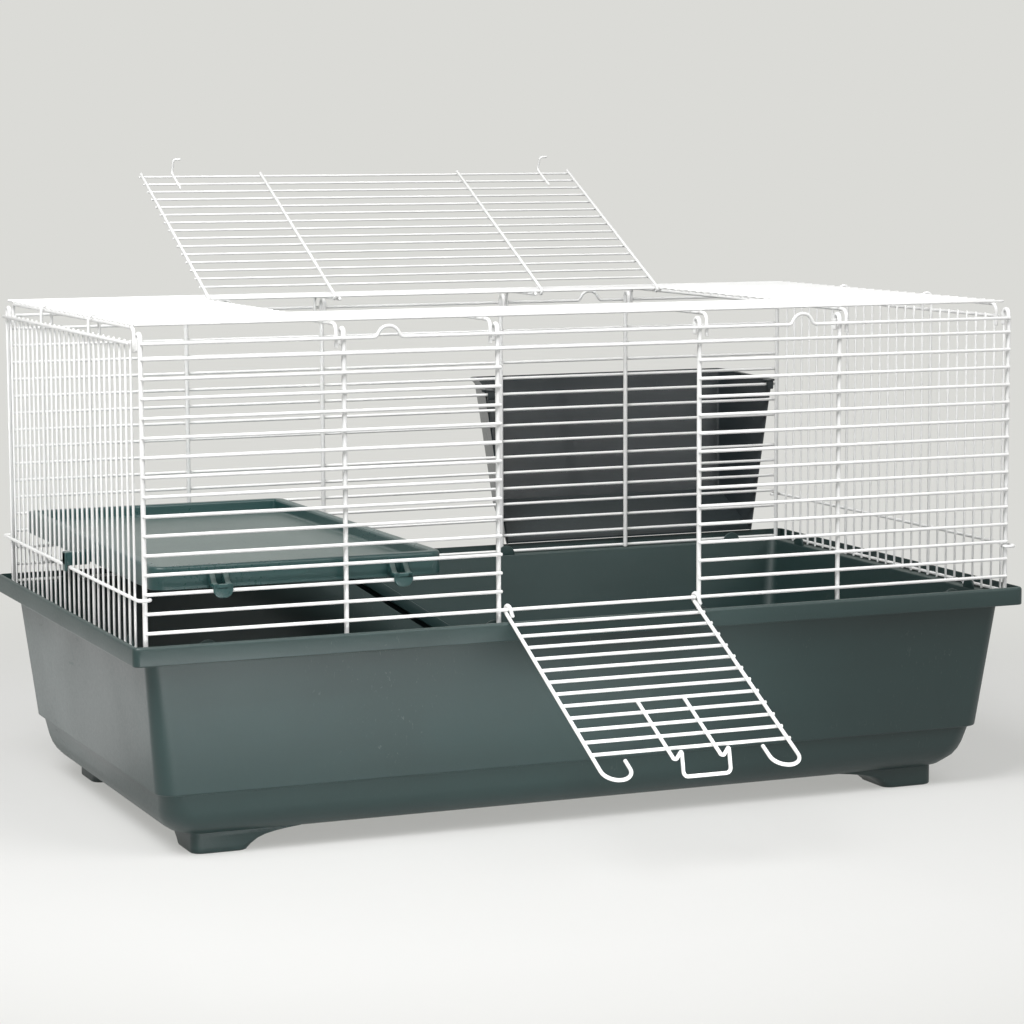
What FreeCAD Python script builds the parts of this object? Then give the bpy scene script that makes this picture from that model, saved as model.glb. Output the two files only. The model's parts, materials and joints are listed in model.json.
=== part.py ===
# Guinea pig cage: a moulded tub, a lift-off wire top with a front door and a roof lid,
# a shelf with a ramp, and a hay rack on the back. Millimetres, +Z up, +X along the front,
# origin on the floor under the middle of the tub.
import FreeCAD
import Part
import Sketcher
import math
import os
import re

Vector = FreeCAD.Vector
Rotation = FreeCAD.Rotation

# Driving dimensions: each is one cell of the sheet.
SIZES = {
    # Tub
    "rim_length": 1000,
    "rim_depth": 568,
    "rim_top": 224.5,
    "rim_height": 19.5,
    "rim_corner": 8,
    "rim_wall": 4,
    "rim_round": 3.5,
    "gutter_width": 17.5,
    "ledge_drop": 10.5,
    "tub_wall": 3,
    "tub_corner": 14,
    "wall_lean": 15,
    "step_height": 68,
    "step_corner": 20,
    "step_inset": 5,
    "lower_lean": 7,
    "floor_corner": 40,
    "floor_round": 33,
    "foot_height": 20,
    "foot_length": 60,
    "foot_depth": 60,
    "foot_corner": 10,
    "foot_toe": 12,
    "foot_toe_height": 11,
    "foot_flare": 60,
    "foot_rise": 6,
    "foot_end_gap": 30,
    "foot_side_gap": 20,
    "lug_width": 22,
    "lug_wall": 2,
    "lug_inner_x": 117,
    "lug_end_gap": 80,
    "lug_side_gap": 84,
    # Wire panels
    "rail_dia": 3.6,
    "post_dia": 5,
    "bar_dia": 2.6,
    "hook_bar_dia": 3.4,
    "weld_gap": 0.05,
    "seat_gap": 0.3,
    "wire_stub": 3,
    "panel_inset": 11,
    "side_inset": 11,
    "end_post_inset": 16,
    "panel_post_x": 277,
    "door_post_x": 113,
    "first_rail_rise": 2.7,
    "rail_pitch": 19,
    "rail_rows": 16,
    "top_rail_rise": 15,
    "hump_x": 231,
    "hump_width": 22,
    "hump_height": 11,
    "hump_bend": 4,
    "hairpin_width": 10,
    "hairpin_rise": 9,
    "hairpin_drop": 8,
    "bar_edge": 21.32,
    "bar_rows": 13,
    "hook_bar_row": 5,
    "hook_bar_bend": 5.5,
    "hook_bar_drop": 15,
    "low_rail_drop": 5,
    "low_rail_bend": 5,
    # Roof and lid
    "rod_dia": 3.8,
    "roof_wire_dia": 2.6,
    "roof_rise": 14,
    "roof_pitch": 19,
    "roof_bend": 8,
    "roof_leg_drop": 10,
    "rod_offset": 8,
    "edge_leg_inset": 28,
    "back_strip": 91,
    "opening_rows": 16,
    "lid_rod_dia": 3.4,
    "lid_half_width": 277,
    "lid_mid_x": 128,
    "lid_first": 27,
    "lid_pitch": 19,
    "lid_rows": 15,
    "lid_lean": 27,
    "catch_x": 238,
    "catch_reach": 5.5,
    "catch_drop": 18,
    "catch_tip": 9,
    "catch_bend": 3,
    # Door
    "door_half_width": 106,
    "door_wire_dia": 4,
    "door_first": 21,
    "door_pitch": 19.6,
    "door_rows": 12,
    "hook_radius": 15.5,
    "hook_start": 25,
    "hook_tip": 18,
    "latch_dia": 3.9,
    "latch_left_x": -25,
    "latch_right_x": 26,
    "latch_shift": 13.5,
    "latch_rows": 5,
    "latch_tip": 20,
    "latch_heel": 4.5,
    "latch_rise": 16,
    "latch_drop": 20,
    "latch_bend": 2,
    "latch_stub": 1,
    "handle_bend": 5,
    "run_gap": 0.3,
    # Shelf
    "shelf_rail_row": 3,
    "shelf_length": 305,
    "shelf_side_gap": 16,
    "shelf_end_gap": 15,
    "shelf_rise": 24,
    "shelf_height": 23,
    "shelf_corner": 16,
    "shelf_recess": 13,
    "shelf_flange": 13,
    "shelf_wall": 2.5,
    "tongue_width": 20,
    "tongue_left_x": 66,
    "tongue_right_x": 51,
    "tongue_thick": 5,
    "tongue_groove": 8,
    "tongue_groove_drop": 3,
    "tongue_leg": 3,
    "tongue_drop": 14,
    "tongue_round": 8,
    "gusset_rise": 13,
    "gusset_length": 12,
    "clip_width": 12,
    "clip_thick": 14,
    "clip_drop": 20.5,
    "clip_web": 17,
    # Ramp
    "ramp_length": 440,
    "ramp_width": 80,
    "ramp_back_gap": 96,
    "ramp_inset": 32,
    "ramp_rest": 2,
    "ramp_plate": 3,
    "ramp_curb": 13,
    "ramp_curb_wall": 2.5,
    "ramp_cleat": 2.5,
    "ramp_cleat_pitch": 28,
    "ramp_pin_dia": 6,
    "ramp_pin_drop": 9,
    "ramp_ear": 4,
    "ramp_ear_gap": 3,
    # Hay rack
    "rack_rail_row": 10,
    "rack_end_gap": 196,
    "rack_top_near": 386,
    "rack_top_far": 336,
    "rack_bottom_near": 331,
    "rack_bottom_far": 304,
    "rack_top_depth": 98,
    "rack_bottom_depth": 62,
    "rack_height": 188,
    "rack_rise": 6,
    "rack_floor_rise": 40,
    "rack_wall": 2.5,
    "rack_back_rise": 8,
    "rack_lip": 4,
    "rack_lip_thick": 2.5,
    "rack_hook_width": 9,
    "rack_hook_inset": 1.5,
    "rack_hook_thick": 4,
    "rack_hook_leg": 3,
    "rack_hook_drop": 8,
    "rack_tab": 6,
}

# Places worked out from the driving dimensions.
PLACES = {
    "ledge_top": "rim_top - ledge_drop",
    "tub_length": "rim_length - 2 * gutter_width",
    "tub_depth": "rim_depth - 2 * gutter_width",
    "step_length": "tub_length - 2 * wall_lean",
    "step_depth": "tub_depth - 2 * wall_lean",
    "lower_length": "step_length - 2 * step_inset",
    "lower_depth": "step_depth - 2 * step_inset",
    "floor_length": "lower_length - 2 * lower_lean",
    "floor_depth": "lower_depth - 2 * lower_lean",
    "floor_top": "foot_height + tub_wall",
    "foot_x": "floor_length / 2 - foot_end_gap",
    "foot_y": "floor_depth / 2 - foot_side_gap",
    "cavity_x": "tub_length / 2 - tub_wall",
    "cavity_y": "tub_depth / 2 - tub_wall",
    "lug_outer_x": "rim_length / 2 - lug_end_gap",
    "lug_side_y": "rim_depth / 2 - lug_side_gap",
    "front_y": "rim_depth / 2 - panel_inset",
    "post_y": "front_y - rail_dia / 2 - weld_gap - post_dia / 2",
    "end_post_x": "rim_length / 2 - end_post_inset",
    "rail_end_x": "end_post_x + wire_stub",
    "wire_foot": "ledge_top + seat_gap",
    "first_rail_z": "wire_foot + first_rail_rise",
    "hinge_rail_z": "first_rail_z + rail_pitch",
    "head_rail_z": "first_rail_z + (rail_rows - 1) * rail_pitch",
    "top_rail_z": "head_rail_z + top_rail_rise",
    "hairpin_top": "top_rail_z + hairpin_rise",
    "hump_top": "top_rail_z + hump_height",
    "side_x": "rim_length / 2 - side_inset",
    "side_rail_x": "side_x + bar_dia / 2 + weld_gap + rail_dia / 2",
    "hook_bar_x": "side_rail_x - rail_dia / 2 - weld_gap - hook_bar_dia / 2",
    "bar_pitch": "(front_y - bar_edge) / bar_rows",
    "hook_bar_y": "hook_bar_row * bar_pitch",
    "shelf_rail_z": "first_rail_z + shelf_rail_row * rail_pitch",
    "low_rail_z": "shelf_rail_z - low_rail_drop",
    "low_rail_y": "front_y + rail_dia + weld_gap",
    "low_rail_tip_x": "end_post_x - post_dia / 2 - weld_gap - rail_dia / 2",
    "roof_z": "top_rail_z + roof_rise",
    "roof_wire_z": "roof_z + rod_dia / 2 + weld_gap + roof_wire_dia / 2",
    "roof_leg_y": "front_y - rail_dia / 2 - weld_gap - rod_dia / 2",
    "edge_rod_x": "hook_bar_x - hook_bar_bend",
    "edge_leg_y": "front_y - edge_leg_inset",
    "inner_rod_x": "panel_post_x + rod_offset",
    "short_rod_x": "door_post_x + rod_offset",
    "roof_end_x": "edge_rod_x + wire_stub",
    "lid_hinge_y": "front_y - back_strip",
    "opening_y": "lid_hinge_y - opening_rows * roof_pitch",
    "lid_curl": "roof_wire_dia / 2 + run_gap + lid_rod_dia / 2",
    "lid_wire_z": "-lid_curl + lid_rod_dia / 2 + weld_gap + roof_wire_dia / 2",
    "lid_length": "lid_first + (lid_rows - 1) * lid_pitch",
    "catch_z": "lid_wire_z - roof_wire_dia - weld_gap",
    "door_curl": "rail_dia / 2 + run_gap + door_wire_dia / 2",
    "rung_z": "-door_curl - door_wire_dia / 2 - weld_gap - rail_dia / 2",
    "door_top": "door_first + (door_rows - 1) * door_pitch",
    "hook_y": "-door_top - hook_start",
    "latch_z": "rung_z + rail_dia / 2 + weld_gap + latch_dia / 2",
    "latch_start": "-door_top + (latch_rows - 1) * door_pitch - latch_stub",
    "shelf_left_x": "side_x - shelf_side_gap",
    "shelf_x": "-shelf_left_x + shelf_length / 2",
    "shelf_right_x": "-shelf_left_x + shelf_length",
    "shelf_depth": "2 * (front_y - shelf_end_gap)",
    "shelf_top": "shelf_rail_z + shelf_rise",
    "shelf_bottom": "shelf_top - shelf_height",
    "shelf_floor": "shelf_top - shelf_recess",
    "tongue_near_x": "-shelf_left_x + tongue_left_x",
    "tongue_far_x": "shelf_right_x - tongue_right_x",
    "tongue_z": "shelf_rail_z + rail_dia / 2 + seat_gap",
    "tongue_groove_z": "tongue_z + tongue_thick - tongue_groove_drop",
    "tongue_y": "front_y + rail_dia / 2 + seat_gap",
    "clip_z": "low_rail_z + rail_dia / 2 + seat_gap",
    "clip_x": "side_rail_x + rail_dia / 2 + seat_gap",
    "ramp_x": "shelf_right_x - ramp_inset",
    "ramp_y": "shelf_depth / 2 - ramp_back_gap",
    "ramp_z": "shelf_floor - shelf_wall - ramp_pin_drop",
    "rack_x": "end_post_x - rack_end_gap",
    "rack_y": "front_y + rail_dia / 2 + seat_gap",
    "rack_rail_z": "first_rail_z + rack_rail_row * rail_pitch",
    "rack_hook_z": "rack_rail_z + rail_dia / 2 + seat_gap",
    "rack_top": "rack_rail_z + rack_rise",
    "rack_bottom": "rack_top - rack_height",
    "rack_hook_y": "front_y - rail_dia / 2 - seat_gap - rack_hook_leg",
}

WORD = re.compile(r"[a-z_]+")
ALONG = {
    "X": Rotation(Vector(0, 1, 0), 90),
    "Y": Rotation(Vector(1, 0, 0), -90),
    "Z": Rotation(),
}
UPPER_HALF_Y = Rotation(Vector(1, 0, 0), 90)
UPPER_HALF_X = Rotation(Vector(0, 0, 1), 90) * UPPER_HALF_Y
CURL_TAIL = math.radians(60)
SLACK = 1

doc = FreeCAD.newDocument("guinea_pig_cage")
sheet = doc.addObject("Spreadsheet::Sheet", "Sizes")
nodes = []


def fill_sheet():
    """Write every driving dimension to its own named cell."""
    for row, (name, value) in enumerate(SIZES.items(), start=1):
        sheet.set(f"A{row}", name)
        sheet.set(f"B{row}", str(value))
        sheet.setAlias(f"B{row}", name)
    doc.recompute()


def formula(text):
    """Spell out a place in terms of the cells of the sheet."""
    def spell(match):
        word = match.group(0)
        if word in PLACES:
            return "(" + formula(PLACES[word]) + ")"
        return "Sizes." + word if word in SIZES else word
    return WORD.sub(spell, text)


def number(text):
    """The present value of a place or size."""
    return float(sheet.evalExpression(formula(text)))


def point(place):
    """The present position of a place given as three formulas."""
    return Vector(*[number(text) for text in place])


def bind(item, **formulas):
    """Bind properties of an object to the sheet."""
    for name, text in formulas.items():
        item.setExpression(name, formula(text))


def put(item, place):
    """Bind the position of an object to the sheet."""
    for axis, text in zip("xyz", place):
        item.setExpression("Placement.Base." + axis, formula(text))


def node(item, label):
    """Mark an object as a finished piece of the cage."""
    item.Label = label
    nodes.append(item)
    return item


def rod(name, axis, dia, length, place, turn=None, angle=None):
    """A straight round wire that starts at a place and runs along an axis."""
    wire = doc.addObject("Part::Cylinder", name)
    bind(wire, Radius=dia + " / 2", Height=length)
    if angle:
        wire.Angle = angle
    wire.Placement = FreeCAD.Placement(Vector(), turn or ALONG[axis])
    put(wire, place)
    return wire


def block(name, length, depth, height, place):
    """A box from its lowest corner."""
    box = doc.addObject("Part::Box", name)
    bind(box, Length=length, Width=depth, Height=height)
    put(box, place)
    return box


def joined(name, pieces):
    """One solid out of pieces that meet."""
    fuse = doc.addObject("Part::MultiFuse", name)
    fuse.Shapes = pieces
    fuse.Refine = True
    return fuse


def cut(name, base, tool):
    """A solid with another taken away."""
    difference = doc.addObject("Part::Cut", name)
    difference.Base = base
    difference.Tool = tool
    return difference


def group(label, pieces):
    """Separate welded wires that make one piece of the cage."""
    bundle = doc.addObject("Part::Compound", label)
    bundle.Links = pieces
    return node(bundle, label)


def rounded(name, base, radius, chosen):
    """A solid with some of its edges rounded."""
    doc.recompute()
    fillet = doc.addObject("Part::Fillet", name)
    fillet.Base = base
    size = number(radius)
    edges = enumerate(base.Shape.Edges, start=1)
    fillet.Edges = [(index, size, size) for index, edge in edges if chosen(edge.BoundBox)]
    return fillet


def outline(name, length, depth, corner, place):
    """A rectangle with round corners, centred on a place."""
    sketch = doc.addObject("Sketcher::SketchObject", name)
    half_x = number(length) / 2
    half_y = number(depth) / 2
    radius = number(corner)
    flat_x = half_x - radius
    flat_y = half_y - radius
    sides = [
        (Vector(-flat_x, -half_y), Vector(flat_x, -half_y)),
        (Vector(half_x, -flat_y), Vector(half_x, flat_y)),
        (Vector(flat_x, half_y), Vector(-flat_x, half_y)),
        (Vector(-half_x, flat_y), Vector(-half_x, -flat_y)),
    ]
    for start, end in sides:
        sketch.addGeometry(Part.LineSegment(start, end))
    middles = [(flat_x, -flat_y), (flat_x, flat_y), (-flat_x, flat_y), (-flat_x, -flat_y)]
    for turn, (x, y) in enumerate(middles):
        circle = Part.Circle(Vector(x, y), Vector(0, 0, 1), radius)
        end = turn * math.pi / 2
        sketch.addGeometry(Part.ArcOfCircle(circle, end - math.pi / 2, end))
    for side in range(4):
        arc = side + 4
        sketch.addConstraint(Sketcher.Constraint("Tangent", side, 2, arc, 1))
        sketch.addConstraint(Sketcher.Constraint("Tangent", arc, 2, (side + 1) % 4, 1))
        level = "Vertical" if side % 2 else "Horizontal"
        sketch.addConstraint(Sketcher.Constraint(level, side))
        if side:
            sketch.addConstraint(Sketcher.Constraint("Equal", 4, arc))
    sketch.addConstraint(Sketcher.Constraint("Symmetric", 0, 1, 2, 1, -1, 1))
    named = {
        "corner": (Sketcher.Constraint("Radius", 4, radius), corner),
        "length": (Sketcher.Constraint("DistanceX", 3, 1, 1, 1, 2 * half_x), length),
        "depth": (Sketcher.Constraint("DistanceY", 0, 1, 2, 2, 2 * half_y), depth),
    }
    for label, (constraint, text) in named.items():
        sketch.renameConstraint(sketch.addConstraint(constraint), label)
        sketch.setExpression("Constraints." + label, formula(text))
    put(sketch, place)
    return sketch


def loft(name, sections):
    """A solid with straight sides from one outline to the next."""
    body = doc.addObject("Part::Loft", name)
    body.Sections = sections
    body.Solid = True
    body.Ruled = True
    return body


def slab(name, length, depth, corner, low, high, x="0", y="0"):
    """A block with round upright corners between two heights."""
    levels = [outline(f"{name}_{end}", length, depth, corner, (x, y, z))
              for end, z in (("low", low), ("high", high))]
    return loft(name, levels)


def polygon(name, corners):
    """A closed outline through a few corners."""
    shape = doc.addObject("Part::Feature", name)
    points = [point(corner) for corner in corners]
    shape.Shape = Part.makePolygon(points + points[:1])
    return shape


def prism(name, corners, width):
    """A solid drawn out along the length of the cage from a side outline."""
    solid = doc.addObject("Part::Extrusion", name)
    solid.Base = polygon(name + "_side", corners)
    solid.DirMode = "Custom"
    solid.Dir = Vector(1, 0, 0)
    solid.Solid = True
    bind(solid, LengthFwd=width)
    return solid


def bent_path(points, bends):
    """Straight runs joined by tangent arcs."""
    edges = []
    start = points[0]
    for before, corner, after, radius in zip(points, points[1:], points[2:], bends):
        arriving = (corner - before).normalize()
        leaving = (after - corner).normalize()
        turn = arriving.getAngle(leaving)
        reach = radius * math.tan(turn / 2)
        first = corner - arriving * reach
        last = corner + leaving * reach
        inward = (leaving - arriving).normalize()
        middle = corner + inward * (radius / math.cos(turn / 2) - radius)
        if start.distanceToPoint(first) > 1e-6:
            edges.append(Part.LineSegment(start, first).toShape())
        edges.append(Part.Arc(first, middle, last).toShape())
        start = last
    if start.distanceToPoint(points[-1]) > 1e-6:
        edges.append(Part.LineSegment(start, points[-1]).toShape())
    return Part.Wire(edges)


def bent_wire(name, dia, places, bends):
    """A round wire bent along a line of places, with one bend radius at each inner place."""
    points = [point(place) for place in places]
    if isinstance(bends, str):
        bends = [bends] * (len(points) - 2)
    path = doc.addObject("Part::Feature", name + "_path")
    path.Shape = bent_path(points, [number(bend) for bend in bends])
    section = doc.addObject("Part::Circle", name + "_section")
    bind(section, Radius=dia + " / 2")
    facing = Rotation(Vector(0, 0, 1), points[1] - points[0])
    section.Placement = FreeCAD.Placement(points[0], facing)
    wire = doc.addObject("Part::Sweep", name)
    wire.Sections = [section]
    wire.Spine = (path, [f"Edge{index}" for index in range(1, len(path.Shape.Edges) + 1)])
    wire.Solid = True
    wire.Frenet = False
    return wire


def hinged(item, axis, angle, place):
    """Turn a piece that was made flat about its hinge, and hang it there."""
    item.Placement = FreeCAD.Placement(Vector(), Rotation(axis, angle))
    put(item, place)
    return item


def make_feet():
    """Four corner feet that flare into the floor of the tub."""
    feet = []
    for x_sign in ("", "-"):
        for y_sign in ("", "-"):
            name = f"foot_{len(feet)}"
            levels = []
            for end, flare, z in (("low", "0", "0"), ("toe", "foot_toe", "foot_toe_height"),
                                  ("high", "foot_flare", f"foot_height + {SLACK}"),
                                  ("root", "foot_flare", "foot_height + foot_rise")):
                length = f"(foot_length + {flare})"
                depth = f"(foot_depth + {flare})"
                place = (f"{x_sign}(foot_x - {length} / 2)", f"{y_sign}(foot_y - {depth} / 2)", z)
                levels.append(outline(f"{name}_{end}", length, depth, "foot_corner", place))
            feet.append(loft(name, levels))
    return feet


def make_lugs():
    """Half round lugs on the ledge that keep the wire top from sliding."""
    lugs = []
    for x in ("-lug_outer_x", "-lug_inner_x", "lug_inner_x", "lug_outer_x"):
        for y in ("-cavity_y", "cavity_y + lug_wall"):
            lugs.append(rod(f"lug_{len(lugs)}", "Y", "lug_width", "lug_wall",
                            (x, y, "ledge_top"), UPPER_HALF_Y, 180))
    for y in ("-lug_side_y", "lug_side_y"):
        for x in ("-cavity_x - lug_wall", "cavity_x"):
            lugs.append(rod(f"lug_{len(lugs)}", "X", "lug_width", "lug_wall",
                            (x, y, "ledge_top"), UPPER_HALF_X, 180))
    return lugs


def make_tub():
    """The moulded tub: stepped leaning walls, round floor edge, gutter rim, lugs and feet."""
    rim = ("rim_length", "rim_depth", "rim_corner")
    lower = loft("tub_lower", [
        outline("tub_floor_edge", "floor_length", "floor_depth", "floor_corner",
                ("0", "0", "foot_height")),
        outline("tub_lower_top", "lower_length", "lower_depth", "step_corner",
                ("0", "0", "step_height")),
    ])
    floor_z = number("foot_height") + SLACK
    lower = rounded("tub_lower_round", lower, "floor_round", lambda box: box.ZMax < floor_z)
    upper = loft("tub_upper", [
        outline("tub_step", "step_length", "step_depth", "step_corner", ("0", "0", "step_height")),
        outline("tub_top", "tub_length", "tub_depth", "tub_corner", ("0", "0", "ledge_top")),
    ])
    ledge = slab("ledge", *rim, "ledge_top - tub_wall", "ledge_top")
    lip = slab("lip_block", *rim, "rim_top - rim_height", "rim_top")
    rim_z = number("rim_top") - SLACK
    lip = rounded("lip_round", lip, "rim_round", lambda box: box.ZMin > rim_z)
    lip_hollow = slab("lip_hollow", "rim_length - 2 * rim_wall", "rim_depth - 2 * rim_wall",
                      "rim_corner - rim_wall", f"rim_top - rim_height - {SLACK}", f"rim_top + {SLACK}")
    lip = cut("lip", lip, lip_hollow)
    hull = joined("tub_hull", [lower, upper, ledge, lip] + make_feet() + make_lugs())
    low_hollow = loft("low_hollow", [
        outline("hollow_floor", "floor_length - 2 * tub_wall", "floor_depth - 2 * tub_wall",
                "floor_corner - tub_wall", ("0", "0", "floor_top")),
        outline("hollow_low_top", "lower_length - 2 * tub_wall", "lower_depth - 2 * tub_wall",
                "step_corner - tub_wall", ("0", "0", f"step_height + tub_wall + {SLACK}")),
    ])
    hollow_z = number("floor_top") + SLACK
    low_hollow = rounded("low_hollow_round", low_hollow, "floor_round - tub_wall",
                         lambda box: box.ZMax < hollow_z)
    top = ("2 * cavity_x", "2 * cavity_y", "tub_corner - tub_wall")
    high_hollow = loft("high_hollow", [
        outline("hollow_step", "step_length - 2 * tub_wall", "step_depth - 2 * tub_wall",
                "step_corner - tub_wall", ("0", "0", "step_height + tub_wall")),
        outline("hollow_top", *top, ("0", "0", "ledge_top")),
        outline("hollow_mouth", *top, ("0", "0", f"ledge_top + {SLACK}")),
    ])
    hollow = joined("tub_hollow", [low_hollow, high_hollow])
    node(cut("tub", hull, hollow), "base_tray")


def make_posts(label, side):
    """Upright wires whose tops turn back over the top wire as hairpins."""
    front = f"{side} * post_y"
    behind = f"{side} * (post_y - hairpin_width)"
    posts = []
    for x in ("-end_post_x", "-panel_post_x", "-door_post_x", "door_post_x", "panel_post_x", "end_post_x"):
        places = [(x, front, "wire_foot"), (x, front, "hairpin_top"), (x, behind, "hairpin_top"),
                  (x, behind, "top_rail_z - hairpin_drop")]
        posts.append(bent_wire(f"{label}_{len(posts)}", "post_dia", places, "hairpin_width / 2"))
    group(label, posts)


def make_top_rail(label, side):
    """The top wire of a long panel, with two humps."""
    y = f"{side} * front_y"
    places = [("-rail_end_x", y, "top_rail_z")]
    for middle in ("-hump_x", "hump_x"):
        near = f"{middle} - hump_width / 2"
        far = f"{middle} + hump_width / 2"
        places += [(near, y, "top_rail_z"), (near, y, "hump_top"), (far, y, "hump_top"),
                   (far, y, "top_rail_z")]
    places.append(("rail_end_x", y, "top_rail_z"))
    node(bent_wire(label, "rail_dia", places, "hump_bend"), label)


def rail(name, row, side, start, end):
    """One straight cross wire of a long panel."""
    place = (start, f"{side} * front_y", f"first_rail_z + {row} * rail_pitch")
    return rod(name, "X", "rail_dia", f"{end} - ({start})", place)


def make_front_panel():
    """Front panel with the door opening between its two middle posts."""
    top_row = int(number("rail_rows")) - 1
    long_rows = (0, 1, top_row)
    group("front_long_rails", [rail(f"front_long_{row}", row, -1, "-rail_end_x", "rail_end_x")
                               for row in long_rows])
    door_edge = "door_post_x - post_dia / 2"
    short_rows = range(2, top_row)
    group("front_left_rails", [rail(f"front_left_{row}", row, -1, "-rail_end_x", f"-({door_edge})")
                               for row in short_rows])
    group("front_right_rails", [rail(f"front_right_{row}", row, -1, door_edge, "rail_end_x")
                                for row in short_rows])
    make_top_rail("front_top_rail", -1)
    make_posts("front_posts", -1)


def make_back_panel():
    """Back panel with all its cross wires running through."""
    rows = range(int(number("rail_rows")))
    group("back_rails", [rail(f"back_rail_{row}", row, 1, "-rail_end_x", "rail_end_x") for row in rows])
    make_top_rail("back_top_rail", 1)
    make_posts("back_posts", 1)


def make_end_panel(label, side):
    """End panel: fine bars, two hook bars, top and bottom wires, and the low wire."""
    x = f"{side} * side_x"
    count = int(number("bar_rows"))
    hook_row = int(number("hook_bar_row"))
    rows = [row for row in range(-count, count + 1) if abs(row) != hook_row]
    group(f"{label}_bars", [
        rod(f"{label}_bar_{index}", "Z", "bar_dia", "top_rail_z + wire_stub - wire_foot",
            (x, f"{row} * bar_pitch", "wire_foot"))
        for index, row in enumerate(rows)])
    outside = f"{side} * hook_bar_x"
    inside = f"{side} * (hook_bar_x - 2 * hook_bar_bend)"
    crest = "roof_z + hook_bar_bend"
    hooks = []
    for y in ("-hook_bar_y", "hook_bar_y"):
        places = [(outside, y, "wire_foot"), (outside, y, crest), (inside, y, crest),
                  (inside, y, "roof_z - hook_bar_drop")]
        hooks.append(bent_wire(f"{label}_hook_{len(hooks)}", "hook_bar_dia", places, "hook_bar_bend"))
    group(f"{label}_hook_bars", hooks)
    rail_x = f"{side} * side_rail_x"
    reach = "(bar_rows * bar_pitch + wire_stub)"
    group(f"{label}_rails", [
        rod(f"{label}_rail_{end}", "Y", "rail_dia", f"2 * {reach}", (rail_x, f"-{reach}", z))
        for end, z in (("low", "first_rail_z"), ("high", "top_rail_z"))])
    tip = f"{side} * low_rail_tip_x"
    places = [(tip, "-post_y", "low_rail_z"), (tip, "-low_rail_y", "low_rail_z"),
              (rail_x, "-low_rail_y", "low_rail_z"), (rail_x, "low_rail_y", "low_rail_z"),
              (tip, "low_rail_y", "low_rail_z"), (tip, "post_y", "low_rail_z")]
    node(bent_wire(f"{label}_low", "rail_dia", places, "low_rail_bend"), f"{label}_low_rail")


def roof_wire(name, start, end, y):
    """One thin wire of the roof, laid over the rods."""
    return rod(name, "X", "roof_wire_dia", f"{end} - ({start})", (start, y, "roof_wire_z"))


def make_roof_wires():
    """Thin roof wires: whole ones in front of and behind the opening, short ones beside it."""
    pitch = number("roof_pitch")
    front_room = number("opening_y + roof_leg_y - roof_bend")
    back_room = number("roof_leg_y - roof_bend - lid_hinge_y")
    rows = int(number("opening_rows"))
    front_rows = range(rows, rows + int(front_room / pitch) + 1)
    back_rows = range(-int(back_room / pitch), 1)
    places = {row: f"lid_hinge_y - ({row}) * roof_pitch" for row in [*back_rows, *front_rows]}
    group("roof_long_wires", [roof_wire(f"roof_long_{index}", "-roof_end_x", "roof_end_x", y)
                              for index, y in enumerate(places.values())])
    inner_end = "inner_rod_x - wire_stub"
    short = []
    for row in range(1, rows):
        y = f"lid_hinge_y - {row} * roof_pitch"
        short.append(roof_wire(f"roof_left_{row}", "-roof_end_x", f"-({inner_end})", y))
        short.append(roof_wire(f"roof_right_{row}", inner_end, "roof_end_x", y))
    group("roof_side_wires", short)


def make_roof_rods():
    """Roof rods from front to back, with ends bent down as legs."""
    leg_z = "top_rail_z - roof_leg_drop"
    whole = {"roof_edge_rods": ("edge_rod_x", "edge_leg_y"), "roof_inner_rods": ("inner_rod_x", "roof_leg_y")}
    for label, (x, leg_y) in whole.items():
        rods = []
        for sign in ("-", ""):
            places = [(sign + x, "-" + leg_y, leg_z), (sign + x, "-" + leg_y, "roof_z"),
                      (sign + x, leg_y, "roof_z"), (sign + x, leg_y, leg_z)]
            rods.append(bent_wire(f"{label}_{len(rods)}", "rod_dia", places, "roof_bend"))
        group(label, rods)
    strips = {"roof_front_short_rods": ("-roof_leg_y", "opening_y + wire_stub"),
              "roof_back_short_rods": ("roof_leg_y", "lid_hinge_y - wire_stub")}
    for label, (leg_y, end_y) in strips.items():
        rods = []
        for x in ("-short_rod_x", "short_rod_x"):
            places = [(x, leg_y, leg_z), (x, leg_y, "roof_z"), (x, end_y, "roof_z")]
            rods.append(bent_wire(f"{label}_{len(rods)}", "rod_dia", places, "roof_bend"))
        group(label, rods)


def curl_start(x, radius):
    """Places of a wire end that is curled up behind its hinge wire and over it, tail first."""
    tip = math.tan(CURL_TAIL / 2)
    tail_y = f"-{tip * (1 + math.cos(CURL_TAIL))} * {radius}"
    tail_z = f"{1 - tip * math.sin(CURL_TAIL)} * {radius}"
    return [(x, tail_y, tail_z), (x, f"-{tip} * {radius}", radius), (x, radius, radius),
            (x, radius, "-" + radius)]


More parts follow.
